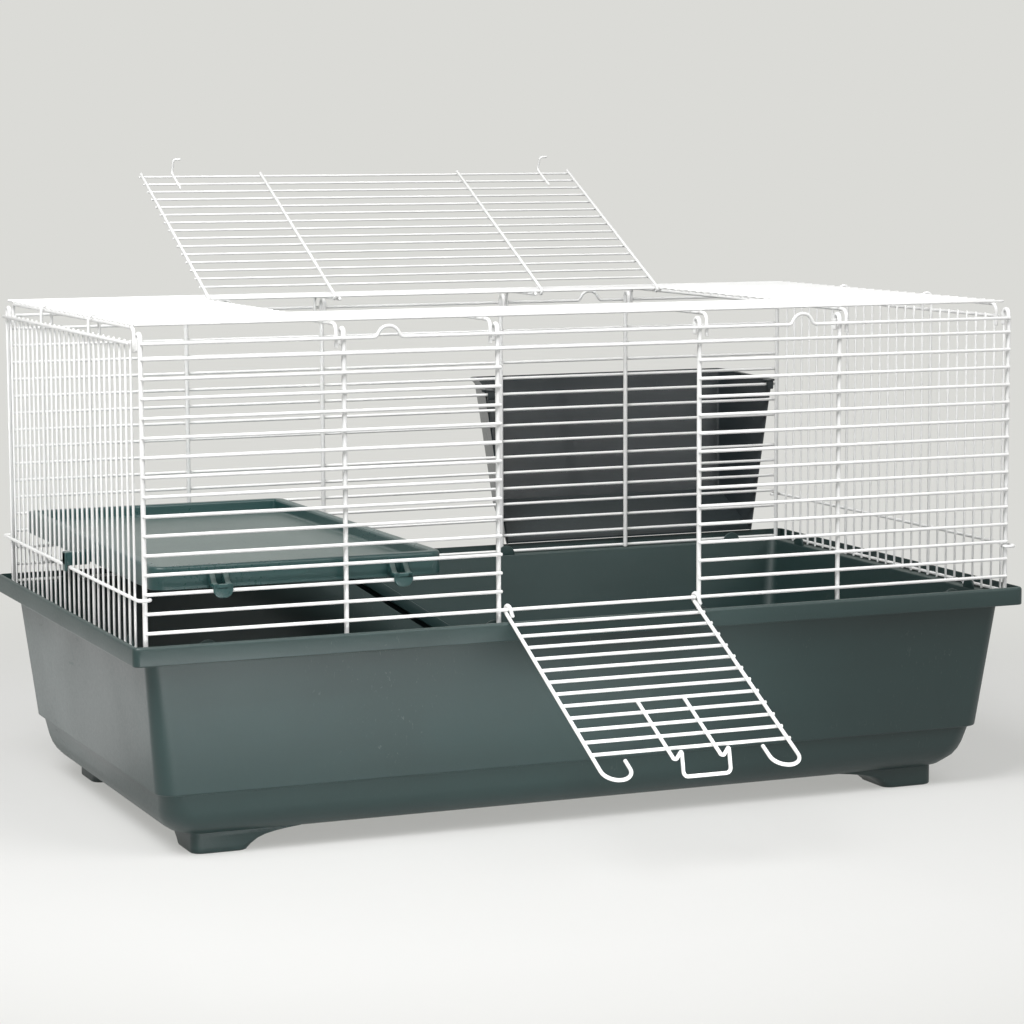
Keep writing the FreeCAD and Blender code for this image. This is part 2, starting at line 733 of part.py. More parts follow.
def make_lid():
    """Roof lid, made flat in front of its hinge wire and swung open over the back."""
    hinge = ("0", "lid_hinge_y", "roof_wire_z")
    open_angle = number("lid_lean") - 180
    pieces = []
    reach = "(lid_half_width + wire_stub)"
    wires = [rod(f"lid_wire_{row}", "X", "roof_wire_dia", f"2 * {reach}",
                 (f"-{reach}", f"-lid_first - {row} * lid_pitch", "lid_wire_z"))
             for row in range(int(number("lid_rows")))]
    pieces.append(group("lid_wires", wires))
    for label, x in (("lid_side_rods", "lid_half_width"), ("lid_mid_rods", "lid_mid_x")):
        rods = []
        for sign in ("-", ""):
            places = curl_start(sign + x, "lid_curl") + [(sign + x, "-lid_length - wire_stub", "-lid_curl")]
            rods.append(bent_wire(f"{label}_{len(rods)}", "lid_rod_dia", places, "lid_curl"))
        pieces.append(group(label, rods))
    catches = []
    for x in ("-catch_x", "catch_x"):
        corner_y = "-lid_length - catch_reach"
        low_z = "catch_z - catch_drop"
        places = [(x, "-lid_length + 2 * lid_pitch - wire_stub", "catch_z"), (x, corner_y, "catch_z"),
                  (x, corner_y, low_z), (f"{x} + catch_tip", corner_y, low_z)]
        catches.append(bent_wire(f"catch_{len(catches)}", "roof_wire_dia", places, "catch_bend"))
    pieces.append(group("lid_catches", catches))
    for piece in pieces:
        hinged(piece, Vector(1, 0, 0), open_angle, hinge)


def door_rest_angle():
    """How far below level the open door drops before its side wires rest on the rim."""
    back = number("panel_inset - rim_round")
    down = number("hinge_rail_z - rim_top + rim_round")
    reach = number("door_curl + door_wire_dia / 2 + seat_gap + rim_round")
    return math.degrees(math.acos(reach / math.hypot(back, down)) - math.atan2(back, down))


def make_latch():
    """Door latch: one wire from two bars over V bends into a handle that stands off the door."""
    bars = ("latch_left_x", "latch_right_x")
    tip_y = "-door_top - latch_tip"
    heel_y = "-door_top - latch_heel"
    handle_y = "-door_top - latch_heel - latch_rise"
    sides = []
    for x in bars:
        sides.append([(x, "latch_start", "latch_z"), (x, tip_y, "latch_z"),
                      (f"{x} + latch_shift", heel_y, "latch_z"),
                      (f"{x} + latch_shift", handle_y, "latch_z - latch_drop")])
    places = sides[0] + sides[1][::-1]
    half = ["latch_bend", "latch_bend", "handle_bend"]
    return node(bent_wire("latch", "latch_dia", places, half + half[::-1]), "door_latch")


def make_door():
    """Front door, made flat in front of its hinge wire and dropped open onto the rim."""
    reach = "(door_half_width + wire_stub)"
    rungs = [rod(f"door_rung_{row}", "X", "rail_dia", f"2 * {reach}",
                 (f"-{reach}", f"-door_first - {row} * door_pitch", "rung_z"))
             for row in range(int(number("door_rows")))]
    sides = []
    for sign in ("-", ""):
        x = sign + "door_half_width"
        inner = sign + "(door_half_width - 2 * hook_radius)"
        crest = "hook_y - hook_radius"
        places = curl_start(x, "door_curl") + [
            (x, crest, "-door_curl"), (inner, crest, "-door_curl"),
            (inner, "hook_y + hook_tip", "-door_curl")]
        bends = ["door_curl"] * 3 + ["hook_radius"] * 2
        sides.append(bent_wire(f"door_side_{len(sides)}", "door_wire_dia", places, bends))
    pieces = [group("door_rungs", rungs), group("door_side_wires", sides), make_latch()]
    for piece in pieces:
        hinged(piece, Vector(1, 0, 0), door_rest_angle(), ("0", "-front_y", "hinge_rail_z"))


def make_gussets(name, left, side):
    """Two slanting ribs that stiffen a tongue, one on each side of its groove."""
    foot_z = "tongue_z + tongue_thick"
    rib = "(tongue_width - tongue_groove) / 2"
    gussets = []
    for x in (left, f"{left} + tongue_width - {rib}"):
        corners = [(x, f"{side} * (shelf_depth / 2 - shelf_wall)", "tongue_z"),
                   (x, f"{side} * (shelf_depth / 2 + gusset_length)", "tongue_z"),
                   (x, f"{side} * (shelf_depth / 2 + gusset_length)", foot_z),
                   (x, f"{side} * shelf_depth / 2", f"{foot_z} + gusset_rise"),
                   (x, f"{side} * (shelf_depth / 2 - shelf_wall)", f"{foot_z} + gusset_rise")]
        gussets.append(prism(f"{name}_gusset_{len(gussets)}", corners, rib))
    return gussets


def make_tongues():
    """Tongues of the shelf that hook over a cross wire of the front and back panels."""
    tongues = []
    wall_y = "(shelf_depth / 2 - shelf_wall)"
    tip_y = "(tongue_y + tongue_leg)"
    low_z = "tongue_z + tongue_thick - tongue_drop"
    for x in ("tongue_near_x", "tongue_far_x"):
        left = f"{x} - tongue_width / 2"
        for side, bridge_y, groove_y, leg_y in ((-1, f"-{tip_y}", "-tongue_y", f"-{tip_y}"),
                                                (1, wall_y, "shelf_depth / 2", "tongue_y")):
            name = f"tongue_{len(tongues)}"
            bridge = block(f"{name}_bridge", "tongue_width", f"{tip_y} - {wall_y}", "tongue_thick",
                           (left, bridge_y, "tongue_z"))
            groove = block(f"{name}_groove", "tongue_groove", "tongue_y - shelf_depth / 2",
                           f"tongue_groove_drop + {SLACK}",
                           (f"{x} - tongue_groove / 2", groove_y, "tongue_groove_z"))
            bridge = cut(f"{name}_channel", bridge, groove)
            leg = block(f"{name}_leg", "tongue_width", "tongue_leg", "tongue_drop", (left, leg_y, low_z))
            tip_z = number(low_z) + SLACK
            leg = rounded(f"{name}_round", leg, "tongue_round",
                          lambda box: box.ZMax < tip_z and box.YLength > box.XLength)
            tongues.append(joined(name, [bridge, leg] + make_gussets(name, left, side)))
    return tongues


def make_clip():
    """Clip of the shelf between two end bars, over the low wire of the left panel."""
    y = "-(bar_pitch + clip_width) / 2"
    wall_x = "-(shelf_left_x - shelf_wall)"
    tip_x = "-(clip_x + tongue_leg)"
    bridge = block("clip_bridge", f"{wall_x} - ({tip_x})", "clip_width", "clip_thick", (tip_x, y, "clip_z"))
    leg = block("clip_leg", "tongue_leg", "clip_width", "clip_drop",
                (tip_x, y, "clip_z + clip_thick - clip_drop"))
    web = block("clip_web", "2 * shelf_wall", "clip_width", "clip_web",
                ("-shelf_left_x - shelf_wall", y, "clip_z"))
    return [bridge, leg, web]


def make_ears():
    """Ears under the shelf that hold the pin of the ramp."""
    ears = []
    radius = "(ramp_pin_dia / 2 + run_gap + ramp_ear)"
    for side in (-1, 1):
        name = f"ear_{len(ears)}"
        y = f"ramp_y + {side} * (ramp_width / 2 - ramp_curb_wall - run_gap - ramp_ear / 2) - ramp_ear / 2"
        cheek = block(f"{name}_cheek", f"2 * {radius}", "ramp_ear", "ramp_pin_drop + shelf_wall / 2",
                      (f"ramp_x - {radius}", y, "ramp_z"))
        end = rod(f"{name}_end", "Y", f"2 * {radius}", "ramp_ear", ("ramp_x", y, "ramp_z"))
        bore = rod(f"{name}_bore", "Y", "(ramp_pin_dia + 2 * run_gap)", f"ramp_ear + 2 * {SLACK}",
                   ("ramp_x", f"{y} - {SLACK}", "ramp_z"))
        ears.append(cut(name, joined(f"{name}_blank", [cheek, end]), bore))
    return ears


def make_shelf():
    """Thin moulded shelf with a recessed floor, a wide hollow rim, tongues, a clip and ramp ears."""
    outer = slab("shelf_outer", "shelf_length", "shelf_depth", "shelf_corner",
                 "shelf_bottom", "shelf_top", "shelf_x")
    recess_length = "(shelf_length - 2 * shelf_flange)"
    recess_depth = "(shelf_depth - 2 * shelf_flange)"
    recess = slab("shelf_recess_block", recess_length, recess_depth, "shelf_corner - shelf_flange",
                  "shelf_floor", f"shelf_top + {SLACK}", "shelf_x")
    under = slab("shelf_under", "shelf_length - 2 * shelf_wall", "shelf_depth - 2 * shelf_wall",
                 "shelf_corner - shelf_wall", f"shelf_bottom - {SLACK}", "shelf_top - shelf_wall", "shelf_x")
    pan = slab("shelf_pan", f"{recess_length} + 2 * shelf_wall", f"{recess_depth} + 2 * shelf_wall",
               "shelf_corner - shelf_flange + shelf_wall", "shelf_floor - shelf_wall", "shelf_top", "shelf_x")
    shell = cut("shelf_shell", cut("shelf_block", outer, cut("shelf_groove", under, pan)), recess)
    node(joined("shelf_whole", [shell] + make_tongues() + make_clip() + make_ears()), "shelf")


def ramp_rest_angle():
    """How far the ramp drops below level until its lower end is just above the floor of the tub."""
    fall = number("ramp_z - floor_top - ramp_rest")
    length = number("ramp_length")
    under = number("ramp_curb / 2")
    return math.degrees(math.asin(fall / math.hypot(length, under)) - math.atan2(under, length))


def make_ramp():
    """Ramp with side curbs and cleats, made level from its pin and dropped to the tub floor."""
    half = "ramp_width / 2"
    pin_half = f"({half} - ramp_curb_wall / 2)"
    start = "(ramp_pin_dia / 2 + run_gap + ramp_ear + ramp_ear_gap)"
    plate = block("ramp_plate_board", f"ramp_length - {start}", "ramp_width", "ramp_plate",
                  (start, f"-{half}", "-ramp_plate / 2"))
    pin = rod("ramp_pin", "Y", "ramp_pin_dia", f"2 * {pin_half}", ("0", f"-{pin_half}", "0"))
    curb_start = "-ramp_pin_dia / 2"
    curbs = [block(f"ramp_curb_{name}", f"ramp_length - ({curb_start})", "ramp_curb_wall", "ramp_curb",
                   (curb_start, y, "-ramp_curb / 2"))
             for name, y in (("near", f"-{half}"), ("far", f"{half} - ramp_curb_wall"))]
    pitch = number("ramp_cleat_pitch")
    count = int(number("ramp_length - ramp_cleat") / pitch)
    cleats = [block(f"ramp_cleat_{row}", "ramp_cleat", "ramp_width", "ramp_cleat",
                    (f"{row} * ramp_cleat_pitch", f"-{half}", "ramp_plate / 2"))
              for row in range(1, count + 1)]
    ramp = node(joined("ramp_whole", [plate, pin] + curbs + cleats), "ramp")
    hinged(ramp, Vector(0, 1, 0), ramp_rest_angle(), ("ramp_x", "ramp_y", "ramp_z"))


def rack_ring(name, width_near, width_far, depth, z, wall="0", open_front="0", rise="0"):
    """An outline of the rack: wide against the panel, narrower and perhaps higher at the back."""
    near = f"({width_near} / 2 - {wall})"
    far = f"({width_far} / 2 - {wall})"
    near_y = f"rack_y - {open_front}"
    far_y = f"rack_y + {depth} - {wall}"
    back_z = f"{z} + {rise}"
    return polygon(name, [(f"rack_x - {near}", near_y, z), (f"rack_x + {near}", near_y, z),
                          (f"rack_x + {far}", far_y, back_z), (f"rack_x - {far}", far_y, back_z)])


def rack_under(name, lift):
    """The space under the sloping floor of the rack."""
    low = f"rack_bottom + {lift}"
    reach = "rack_top_depth"
    high = f"{low} + rack_floor_rise * rack_top_depth / rack_bottom_depth"
    x = "rack_x - rack_top_near / 2"
    deep = f"rack_bottom - {SLACK}"
    side = [(x, f"rack_y - {SLACK}", deep), (x, f"rack_y + {reach}", deep), (x, f"rack_y + {reach}", high),
            (x, "rack_y", low), (x, f"rack_y - {SLACK}", low)]
    return prism(name, side, "rack_top_near")


def make_rack_hooks():
    """Hooks at both top corners of the rack, over a cross wire of the back panel."""
    hooks = []
    outer = "(rack_top_near / 2 - rack_hook_inset)"
    for x in (f"rack_x - {outer}", f"rack_x + {outer} - rack_hook_width"):
        name = f"rack_hook_{len(hooks) // 2}"
        depth = "rack_y + rack_tab - rack_hook_y"
        hooks.append(block(f"{name}_bridge", "rack_hook_width", depth, "rack_hook_thick",
                           (x, "rack_hook_y", "rack_hook_z")))
        hooks.append(block(f"{name}_leg", "rack_hook_width", "rack_hook_leg",
                           "rack_hook_drop + rack_hook_thick",
                           (x, "rack_hook_y", "rack_hook_z - rack_hook_drop")))
    return hooks


def make_rack():
    """Hay rack: a hopper that is open to the cage and at the top, with a lip and a sloping floor."""
    low = ("rack_bottom_near", "rack_bottom_far", "rack_bottom_depth", "rack_bottom")
    high = ("rack_top_near", "rack_top_far", "rack_top_depth")
    rise = "rack_back_rise"
    outer = loft("rack_outer", [
        rack_ring("rack_ring_low", *low),
        rack_ring("rack_ring_high", *high, "rack_top", rise=rise)])
    inner = loft("rack_inner", [
        rack_ring("rack_hollow_low", *low, "rack_wall", f"{SLACK}"),
        rack_ring("rack_hollow_high", *high, f"rack_top + {SLACK}", "rack_wall", f"{SLACK}", rise)])
    lip = loft("rack_lip_ring", [
        rack_ring("rack_lip_low", *high, "rack_top - rack_lip_thick", "(-rack_lip)", rise=rise),
        rack_ring("rack_lip_high", *high, "rack_top", "(-rack_lip)", rise=rise)])
    outer = joined("rack_lipped", [cut("rack_sloped", outer, rack_under("rack_below", "0")), lip])
    inner = cut("rack_space", inner, rack_under("rack_floor", "rack_wall"))
    node(joined("rack_whole", [cut("rack_shell", outer, inner)] + make_rack_hooks()), "hay_rack")


def check():
    """Stop if any object failed or any piece is not a sound solid."""
    for item in doc.Objects:
        if "Invalid" in item.State or "Error" in item.State:
            raise RuntimeError(f"{item.Name} failed: {item.State}")
    for item in nodes:
        if item.Shape.isNull() or not item.Shape.isValid() or not item.Shape.Solids:
            raise RuntimeError(f"{item.Label} is not a sound solid")


def main():
    """Build the cage and write one file for each piece."""
    fill_sheet()
    make_tub()
    make_front_panel()
    make_back_panel()
    make_end_panel("left", -1)
    make_end_panel("right", 1)
    make_roof_wires()
    make_roof_rods()
    make_lid()
    make_door()
    make_shelf()
    make_ramp()
    make_rack()
    doc.recompute()
    check()
    os.makedirs("parts", exist_ok=True)
    for item in nodes:
        item.Shape.exportStep(f"parts/{item.Label}.step")
        print(item.Label, len(item.Shape.Solids), "solids", round(item.Shape.Volume), "cubic mm")
    print("door rests", round(door_rest_angle(), 3), "below level, ramp", round(ramp_rest_angle(), 3))


main()
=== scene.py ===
"""Guinea pig cage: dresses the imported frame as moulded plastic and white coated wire."""
import json
import logging
import math
from dataclasses import dataclass
from enum import Enum
from typing import Any, Iterable, NamedTuple, Optional, Sequence

import bmesh
import bpy
from mathutils import Matrix, Quaternion, Vector


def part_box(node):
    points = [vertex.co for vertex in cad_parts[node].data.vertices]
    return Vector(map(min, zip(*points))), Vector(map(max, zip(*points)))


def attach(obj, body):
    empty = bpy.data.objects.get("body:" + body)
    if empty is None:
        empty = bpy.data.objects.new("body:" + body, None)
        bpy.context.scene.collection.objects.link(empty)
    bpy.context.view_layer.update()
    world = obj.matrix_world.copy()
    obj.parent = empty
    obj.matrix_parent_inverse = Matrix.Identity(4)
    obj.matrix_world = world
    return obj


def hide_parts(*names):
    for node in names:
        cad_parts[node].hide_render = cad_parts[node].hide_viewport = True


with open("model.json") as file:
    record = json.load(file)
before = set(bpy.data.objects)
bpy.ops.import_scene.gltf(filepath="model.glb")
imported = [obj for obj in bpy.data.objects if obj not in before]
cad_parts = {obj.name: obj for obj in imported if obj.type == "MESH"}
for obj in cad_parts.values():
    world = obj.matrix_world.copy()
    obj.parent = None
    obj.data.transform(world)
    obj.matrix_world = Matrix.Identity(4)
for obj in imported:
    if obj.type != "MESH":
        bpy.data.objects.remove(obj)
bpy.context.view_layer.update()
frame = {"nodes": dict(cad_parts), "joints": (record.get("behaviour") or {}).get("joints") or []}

LOG = logging.getLogger("guinea_pig_cage")
Path = list[Vector]
Ring = list[Vector]
Wire = tuple[Path, float]
Box = tuple[Vector, Vector]
Line = tuple[Vector, Vector]
Outline = list[tuple[float, float]]
Point = tuple[float, float, float]
Colour = tuple[float, float, float, float]
# Shares of its winding along the hinge wire that a curl has taken at its top and on its far side.
CURL_SHARES = (0.4, 0.15)


class Body(Enum):
    """The moving bodies of the cage."""

    BASE = "base"
    WIRE_TOP = "wire_top"
    DOOR = "front_door"
    LID = "roof_lid"
    SHELF = "shelf"
    RAMP = "ramp"
    RACK = "hay_rack"


class Slot(Enum):
    """The material slots of the record."""

    TUB = "tub_plastic"
    SHELF = "shelf_plastic"
    RAMP = "ramp_plastic"
    RACK = "rack_plastic"
    PANEL = "panel_wire"
    DOOR = "door_wire"
    LID = "lid_wire"


class Side(Enum):
    """Which way a panel faces along its axis."""

    LOW = -1
    HIGH = 1


class Value:
    """A shader socket that takes part in Python arithmetic."""

    def __init__(self, shader: "Shader", socket: bpy.types.NodeSocket) -> None:
        """Keep the socket and the shader that it belongs to."""
        self.shader = shader
        self.socket = socket

    def _math(self, operation: str, *terms: Any) -> "Value":
        """Add one Math node."""
        return self.shader.node("ShaderNodeMath", {"operation": operation}, dict(enumerate(terms)))

    def __add__(self, other: Any) -> "Value":
        """Sum."""
        return self._math("ADD", self, other)

    def __radd__(self, other: Any) -> "Value":
        """Sum with the value on the right."""
        return self._math("ADD", other, self)

    def __sub__(self, other: Any) -> "Value":
        """Difference."""
        return self._math("SUBTRACT", self, other)

    def __rsub__(self, other: Any) -> "Value":
        """Difference with the value on the right."""
        return self._math("SUBTRACT", other, self)

    def __mul__(self, other: Any) -> "Value":
        """Product."""
        return self._math("MULTIPLY", self, other)

    def __rmul__(self, other: Any) -> "Value":
        """Product with the value on the right."""
        return self._math("MULTIPLY", other, self)

    def between(self, low: float, high: float) -> "Value":
        """Smooth step from 0 at low to 1 at high.

        Args:
            low: Value that gives 0.
            high: Value that gives 1.

        Returns:
            The stepped value.
        """
        settings = {"interpolation_type": "SMOOTHSTEP"}
        return self.shader.node("ShaderNodeMapRange", settings, {0: self, 1: low, 2: high, 3: 0.0, 4: 1.0})


class Shader:
    """The nodes of one material or of the world."""

    def __init__(self, owner: bpy.types.Material | bpy.types.World) -> None:
        """Start an empty node tree.

        Args:
            owner: Material or world that the nodes belong to.
        """
        self.owner = owner
        self.owner.use_nodes = True
        self.tree = self.owner.node_tree
        self.tree.nodes.clear()

    def node(self, kind: str, settings: Optional[dict[str, Any]] = None,
             inputs: Optional[dict[Any, Any]] = None, output: Any = 0) -> Value:
        """Add any node.

        Args:
            kind: Type of the node.
            settings: Properties that are set before the sockets.
            inputs: Values or links of the sockets, by name or number.
            output: Name or number of the output that is handed back.

        Returns:
            The chosen output.
        """
        item = self.tree.nodes.new(kind)
        for key, value in (settings or {}).items():
            setattr(item, key, value)
        for key, value in (inputs or {}).items():
            if isinstance(value, Value):
                self.tree.links.new(value.socket, item.inputs[key])
            else:
                item.inputs[key].default_value = value
        return Value(self, item.outputs[output]) if len(item.outputs) else Value(self, None)

    def noise(self, where: Value, scale: float, detail: float = 3.0, twist: float = 0.0) -> Value:
        """Noise over the piece.

        Args:
            where: Coordinates.
            scale: Waves to the metre.
            detail: Octaves.
            twist: Distortion.

        Returns:
            A value about 0.5.
        """
        return self.node("ShaderNodeTexNoise", None,
                         {"Vector": where, "Scale": scale, "Detail": detail, "Distortion": twist})

    def stretched(self, where: Value, scale: Point) -> Value:
        """Coordinates scaled along each axis."""
        return self.node("ShaderNodeVectorMath", {"operation": "MULTIPLY"}, {0: where, 1: scale})

    def mix(self, share: Any, first: Any, second: Any) -> Value:
        """Blend two colours.

        Args:
            share: Share of the second colour.
            first: First colour.
            second: Second colour.

        Returns:
            The blended colour.
        """
        return self.node("ShaderNodeMix", {"data_type": "RGBA"}, {0: share, 6: first, 7: second}, 2)


def linear(red: int, green: int, blue: int) -> Colour:
    """Turn a screen colour into a shader colour.

    Args:
        red: Red, 0 to 255.
        green: Green, 0 to 255.
        blue: Blue, 0 to 255.

    Returns:
        The colour with full alpha.
    """
    parts = [part / 255.0 for part in (red, green, blue)]
    return (*[part / 12.92 if part < 0.04045 else ((part + 0.055) / 1.055) ** 2.4 for part in parts], 1.0)


@dataclass(frozen=True)
class MouldedPlastic:
    """Satin moulded plastic with a fine grain, faint scuffs and a film of dust on level faces."""

    name: str
    colour: Colour
    deep: Colour
    dust: Colour
    gloss: float
    dust_share: float
    grain: float
    dust_top: float = 1.0

    def material(self) -> bpy.types.Material:
        """Build the node material.

        Returns:
            The material.
        """
        shader = Shader(bpy.data.materials.new(self.name))
        where = shader.node("ShaderNodeTexCoord", None, None, "Object")
        normal = shader.node("ShaderNodeTexCoord", None, None, "Normal")
        up, height = [shader.node("ShaderNodeSeparateXYZ", None, {0: source}, "Z")
                      for source in (normal, where)]
        cloud = shader.noise(where, 7.0, 4.0, 0.4)
        flow = shader.noise(shader.stretched(where, (4.0, 4.0, 24.0)), 1.0, 3.0, 0.8)
        grain = shader.noise(where, 900.0, 2.0)
        pits = shader.noise(where, 260.0, 3.0)
        scratch = shader.noise(shader.stretched(where, (260.0, 22.0, 90.0)), 1.0, 2.0, 1.6)
        scuff = scratch.between(0.66, 0.74) * cloud.between(0.45, 0.7)
        level = up.between(0.55, 0.98) * (1.0 - height.between(self.dust_top - 0.003, self.dust_top))
        film = level * (0.55 + 0.45 * pits.between(0.35, 0.7)) * self.dust_share
        depth = cloud.between(0.3, 0.72) * 0.6 + flow.between(0.35, 0.75) * 0.3
        body = shader.mix(depth, self.colour, self.deep)
        worn = shader.mix(scuff * 0.16, body, self.dust)
        colour = shader.mix(film, worn, self.dust)
        rough = (1.0 - self.gloss) + 0.12 * (cloud - 0.5) + 0.1 * (pits - 0.5) + 0.18 * scuff + 0.22 * film
        bump = shader.node("ShaderNodeBump", None, {"Strength": self.grain, "Distance": 0.0004,
                                                    "Height": grain * 0.7 + pits * 0.5 + scuff * -0.3})
        surface = shader.node("ShaderNodeBsdfPrincipled", None,
                              {"Base Color": colour, "Roughness": rough, "Normal": bump, "IOR": 1.5})
        shader.node("ShaderNodeOutputMaterial", None, {"Surface": surface})
        return shader.owner


@dataclass(frozen=True)
class CoatedWire:
    """White coated steel wire: glossy, a little uneven, with faint grey where it is handled."""

    name: str
    white: Colour
    shade: Colour
    gloss: float

    def material(self) -> bpy.types.Material:
        """Build the node material.

        Returns:
            The material.
        """
        shader = Shader(bpy.data.materials.new(self.name))
        where = shader.node("ShaderNodeTexCoord", None, None, "Object")
        cloud = shader.noise(where, 16.0, 4.0, 0.5)
        peel = shader.noise(where, 520.0, 2.0)
        specks = shader.noise(where, 1400.0, 1.0).between(0.7, 0.78)
        colour = shader.mix(cloud.between(0.4, 0.75) * 0.55 + specks * 0.25, self.white, self.shade)
        rough = (1.0 - self.gloss) + 0.16 * (cloud - 0.5) + 0.1 * (peel - 0.5)
        bump = shader.node("ShaderNodeBump", None,
                           {"Strength": 0.35, "Distance": 0.0003, "Height": peel + specks * 0.4})
        surface = shader.node("ShaderNodeBsdfPrincipled", None,
                              {"Base Color": colour, "Roughness": rough, "Normal": bump, "IOR": 1.5,
                               "Coat Weight": 0.25, "Coat Roughness": 0.12})
        shader.node("ShaderNodeOutputMaterial", None, {"Surface": surface})
        return shader.owner


class Run(NamedTuple):
    """A straight stretch of round wire."""

    start: Vector
    end: Vector
    radius: float


class Station(NamedTuple):
    """One corner of a moulded profile: how far in from the outer edge, how high, and its roundings."""

    inset: float
    height: float
    corner: float
    bend: float


def bent(points: Sequence[Sequence[float]], bends: Sequence[float], steps: int = 8) -> Path:
    """Join straight runs with round bends.

    Args:
        points: Corners of the line with its two ends.
        bends: Bend radius at each inner corner.
        steps: Pieces in each bend.

    Returns:
        Points along the bent line.
    """
    corners = [Vector(point) for point in points]
    path = corners[:1]
    for before, corner, after, radius in zip(corners, corners[1:], corners[2:], bends):
        arriving = (corner - before).normalized()
        leaving = (after - corner).normalized()
        turn = arriving.angle(leaving)
        axis = arriving.cross(leaving).normalized()
        reach = radius * math.tan(turn / 2)
        first = corner - arriving * reach
        centre = first + axis.cross(arriving) * radius
        path += [centre + Quaternion(axis, turn * step / steps) @ (first - centre)
                 for step in range(steps + 1)]
    path.append(corners[-1])
    kept = path[:1]
    for point in path[1:]:
        if (point - kept[-1]).length > 1e-6:
            kept.append(point)
    return kept


def rounded_ring(half_x: float, half_y: float, corner: float, height: float, middle: tuple[float, float],
                 steps: int = 8) -> Ring:
    """A level rectangle with round corners.

    Args:
        half_x: Half length.
        half_y: Half depth.
        corner: Corner radius.
        height: Level.
        middle: Centre in plan.
        steps: Pieces in each corner.

    Returns:
        Points round the ring, the same number for any size.
    """
    ring = []
    for quarter, (x_sign, y_sign) in enumerate(((1, 1), (-1, 1), (-1, -1), (1, -1))):
        for step in range(steps + 1):
            angle = (quarter + step / steps) * math.pi / 2
            ring.append(Vector((middle[0] + x_sign * (half_x - corner) + corner * math.cos(angle),
                                middle[1] + y_sign * (half_y - corner) + corner * math.sin(angle), height)))
    return ring


def rounded_outline(length: float, depth: float, corner: float, steps: int = 5) -> Outline:
    """A flat rectangle with round corners about its own middle."""
    return [(p.x, p.y) for p in rounded_ring(length / 2, depth / 2, corner, 0.0, (0.0, 0.0), steps)]


def moulded_rings(stations: Sequence[Station], half: tuple[float, float],
                  middle: tuple[float, float]) -> list[Ring]:
    """Rings of a moulded tray along its profile.

    Args:
        stations: Corners of the profile, from the middle of one face round to the other.
        half: Half length and half depth of the outer edge.
        middle: Centre in plan.

    Returns:
        The rings in order.
    """
    points = [(station.inset, station.height, 0.0) for station in stations]
    path = bent(points, [station.bend for station in stations[1:-1]], 6)
    return [rounded_ring(half[0] - place.x, half[1] - place.x, corner_at(place, stations), place.y,
                         middle, 10) for place in path]


def corner_at(place: Vector, stations: Sequence[Station]) -> float:
    """Corner radius in plan for a point of a moulded profile.

    Args:
        place: Point with its inset and height.
        stations: Corners of the profile.

    Returns:
        The radius, taken from the nearest side of the profile.
    """
    best = (math.inf, 0.0)
    for first, second in zip(stations, stations[1:]):
        start = Vector((first.inset, first.height))
        side = Vector((second.inset, second.height)) - start
        share = max(0.0, min(1.0, (place.xy - start).dot(side) / side.length_squared))
        gap = (start + side * share - place.xy).length
        best = min(best, (gap, first.corner + (second.corner - first.corner) * share))
    return best[1]


def loose_boxes(node: str) -> list[Box]:
    """Boxes of the separate wires in a CAD node.

    Args:
        node: Name of the node.

    Returns:
        Lowest and highest corner of each wire.
    """
    mesh = frame["nodes"][node].data
    keys = [tuple(round(part, 6) for part in vertex.co) for vertex in mesh.vertices]
    leader: dict[tuple, tuple] = {key: key for key in keys}

    def top(key: tuple) -> tuple:
        """Follow a point to the first point of its wire.

        Args:
            key: The point.

        Returns:
            The first point.
        """
        while leader[key] != key:
            leader[key] = leader[leader[key]]
            key = leader[key]
        return key

    for face in mesh.polygons:
        first = top(keys[face.vertices[0]])
        for index in face.vertices[1:]:
            leader[top(keys[index])] = first
    wires: dict[tuple, list[tuple]] = {}
    for key in leader:
        wires.setdefault(top(key), []).append(key)
    boxes = []
    for points in wires.values():
        columns = list(zip(*points))
        boxes.append((Vector(map(min, columns)), Vector(map(max, columns))))
    return sorted(boxes, key=lambda box: tuple(box[0] + box[1]))


def straight_runs(node: str) -> list[Run]:
    """Straight wires of a CAD node, which run along X, Y or Z.

    Args:
        node: Name of the node.

    Returns:
        One run for each wire.
    """
    runs = []
    for low, high in loose_boxes(node):
        size = high - low
        axis = max(range(3), key=lambda index: size[index])
        start = (low + high) / 2
        end = start.copy()
        start[axis] = low[axis]
        end[axis] = high[axis]
        runs.append(Run(start, end, min(size) / 2))
    return runs


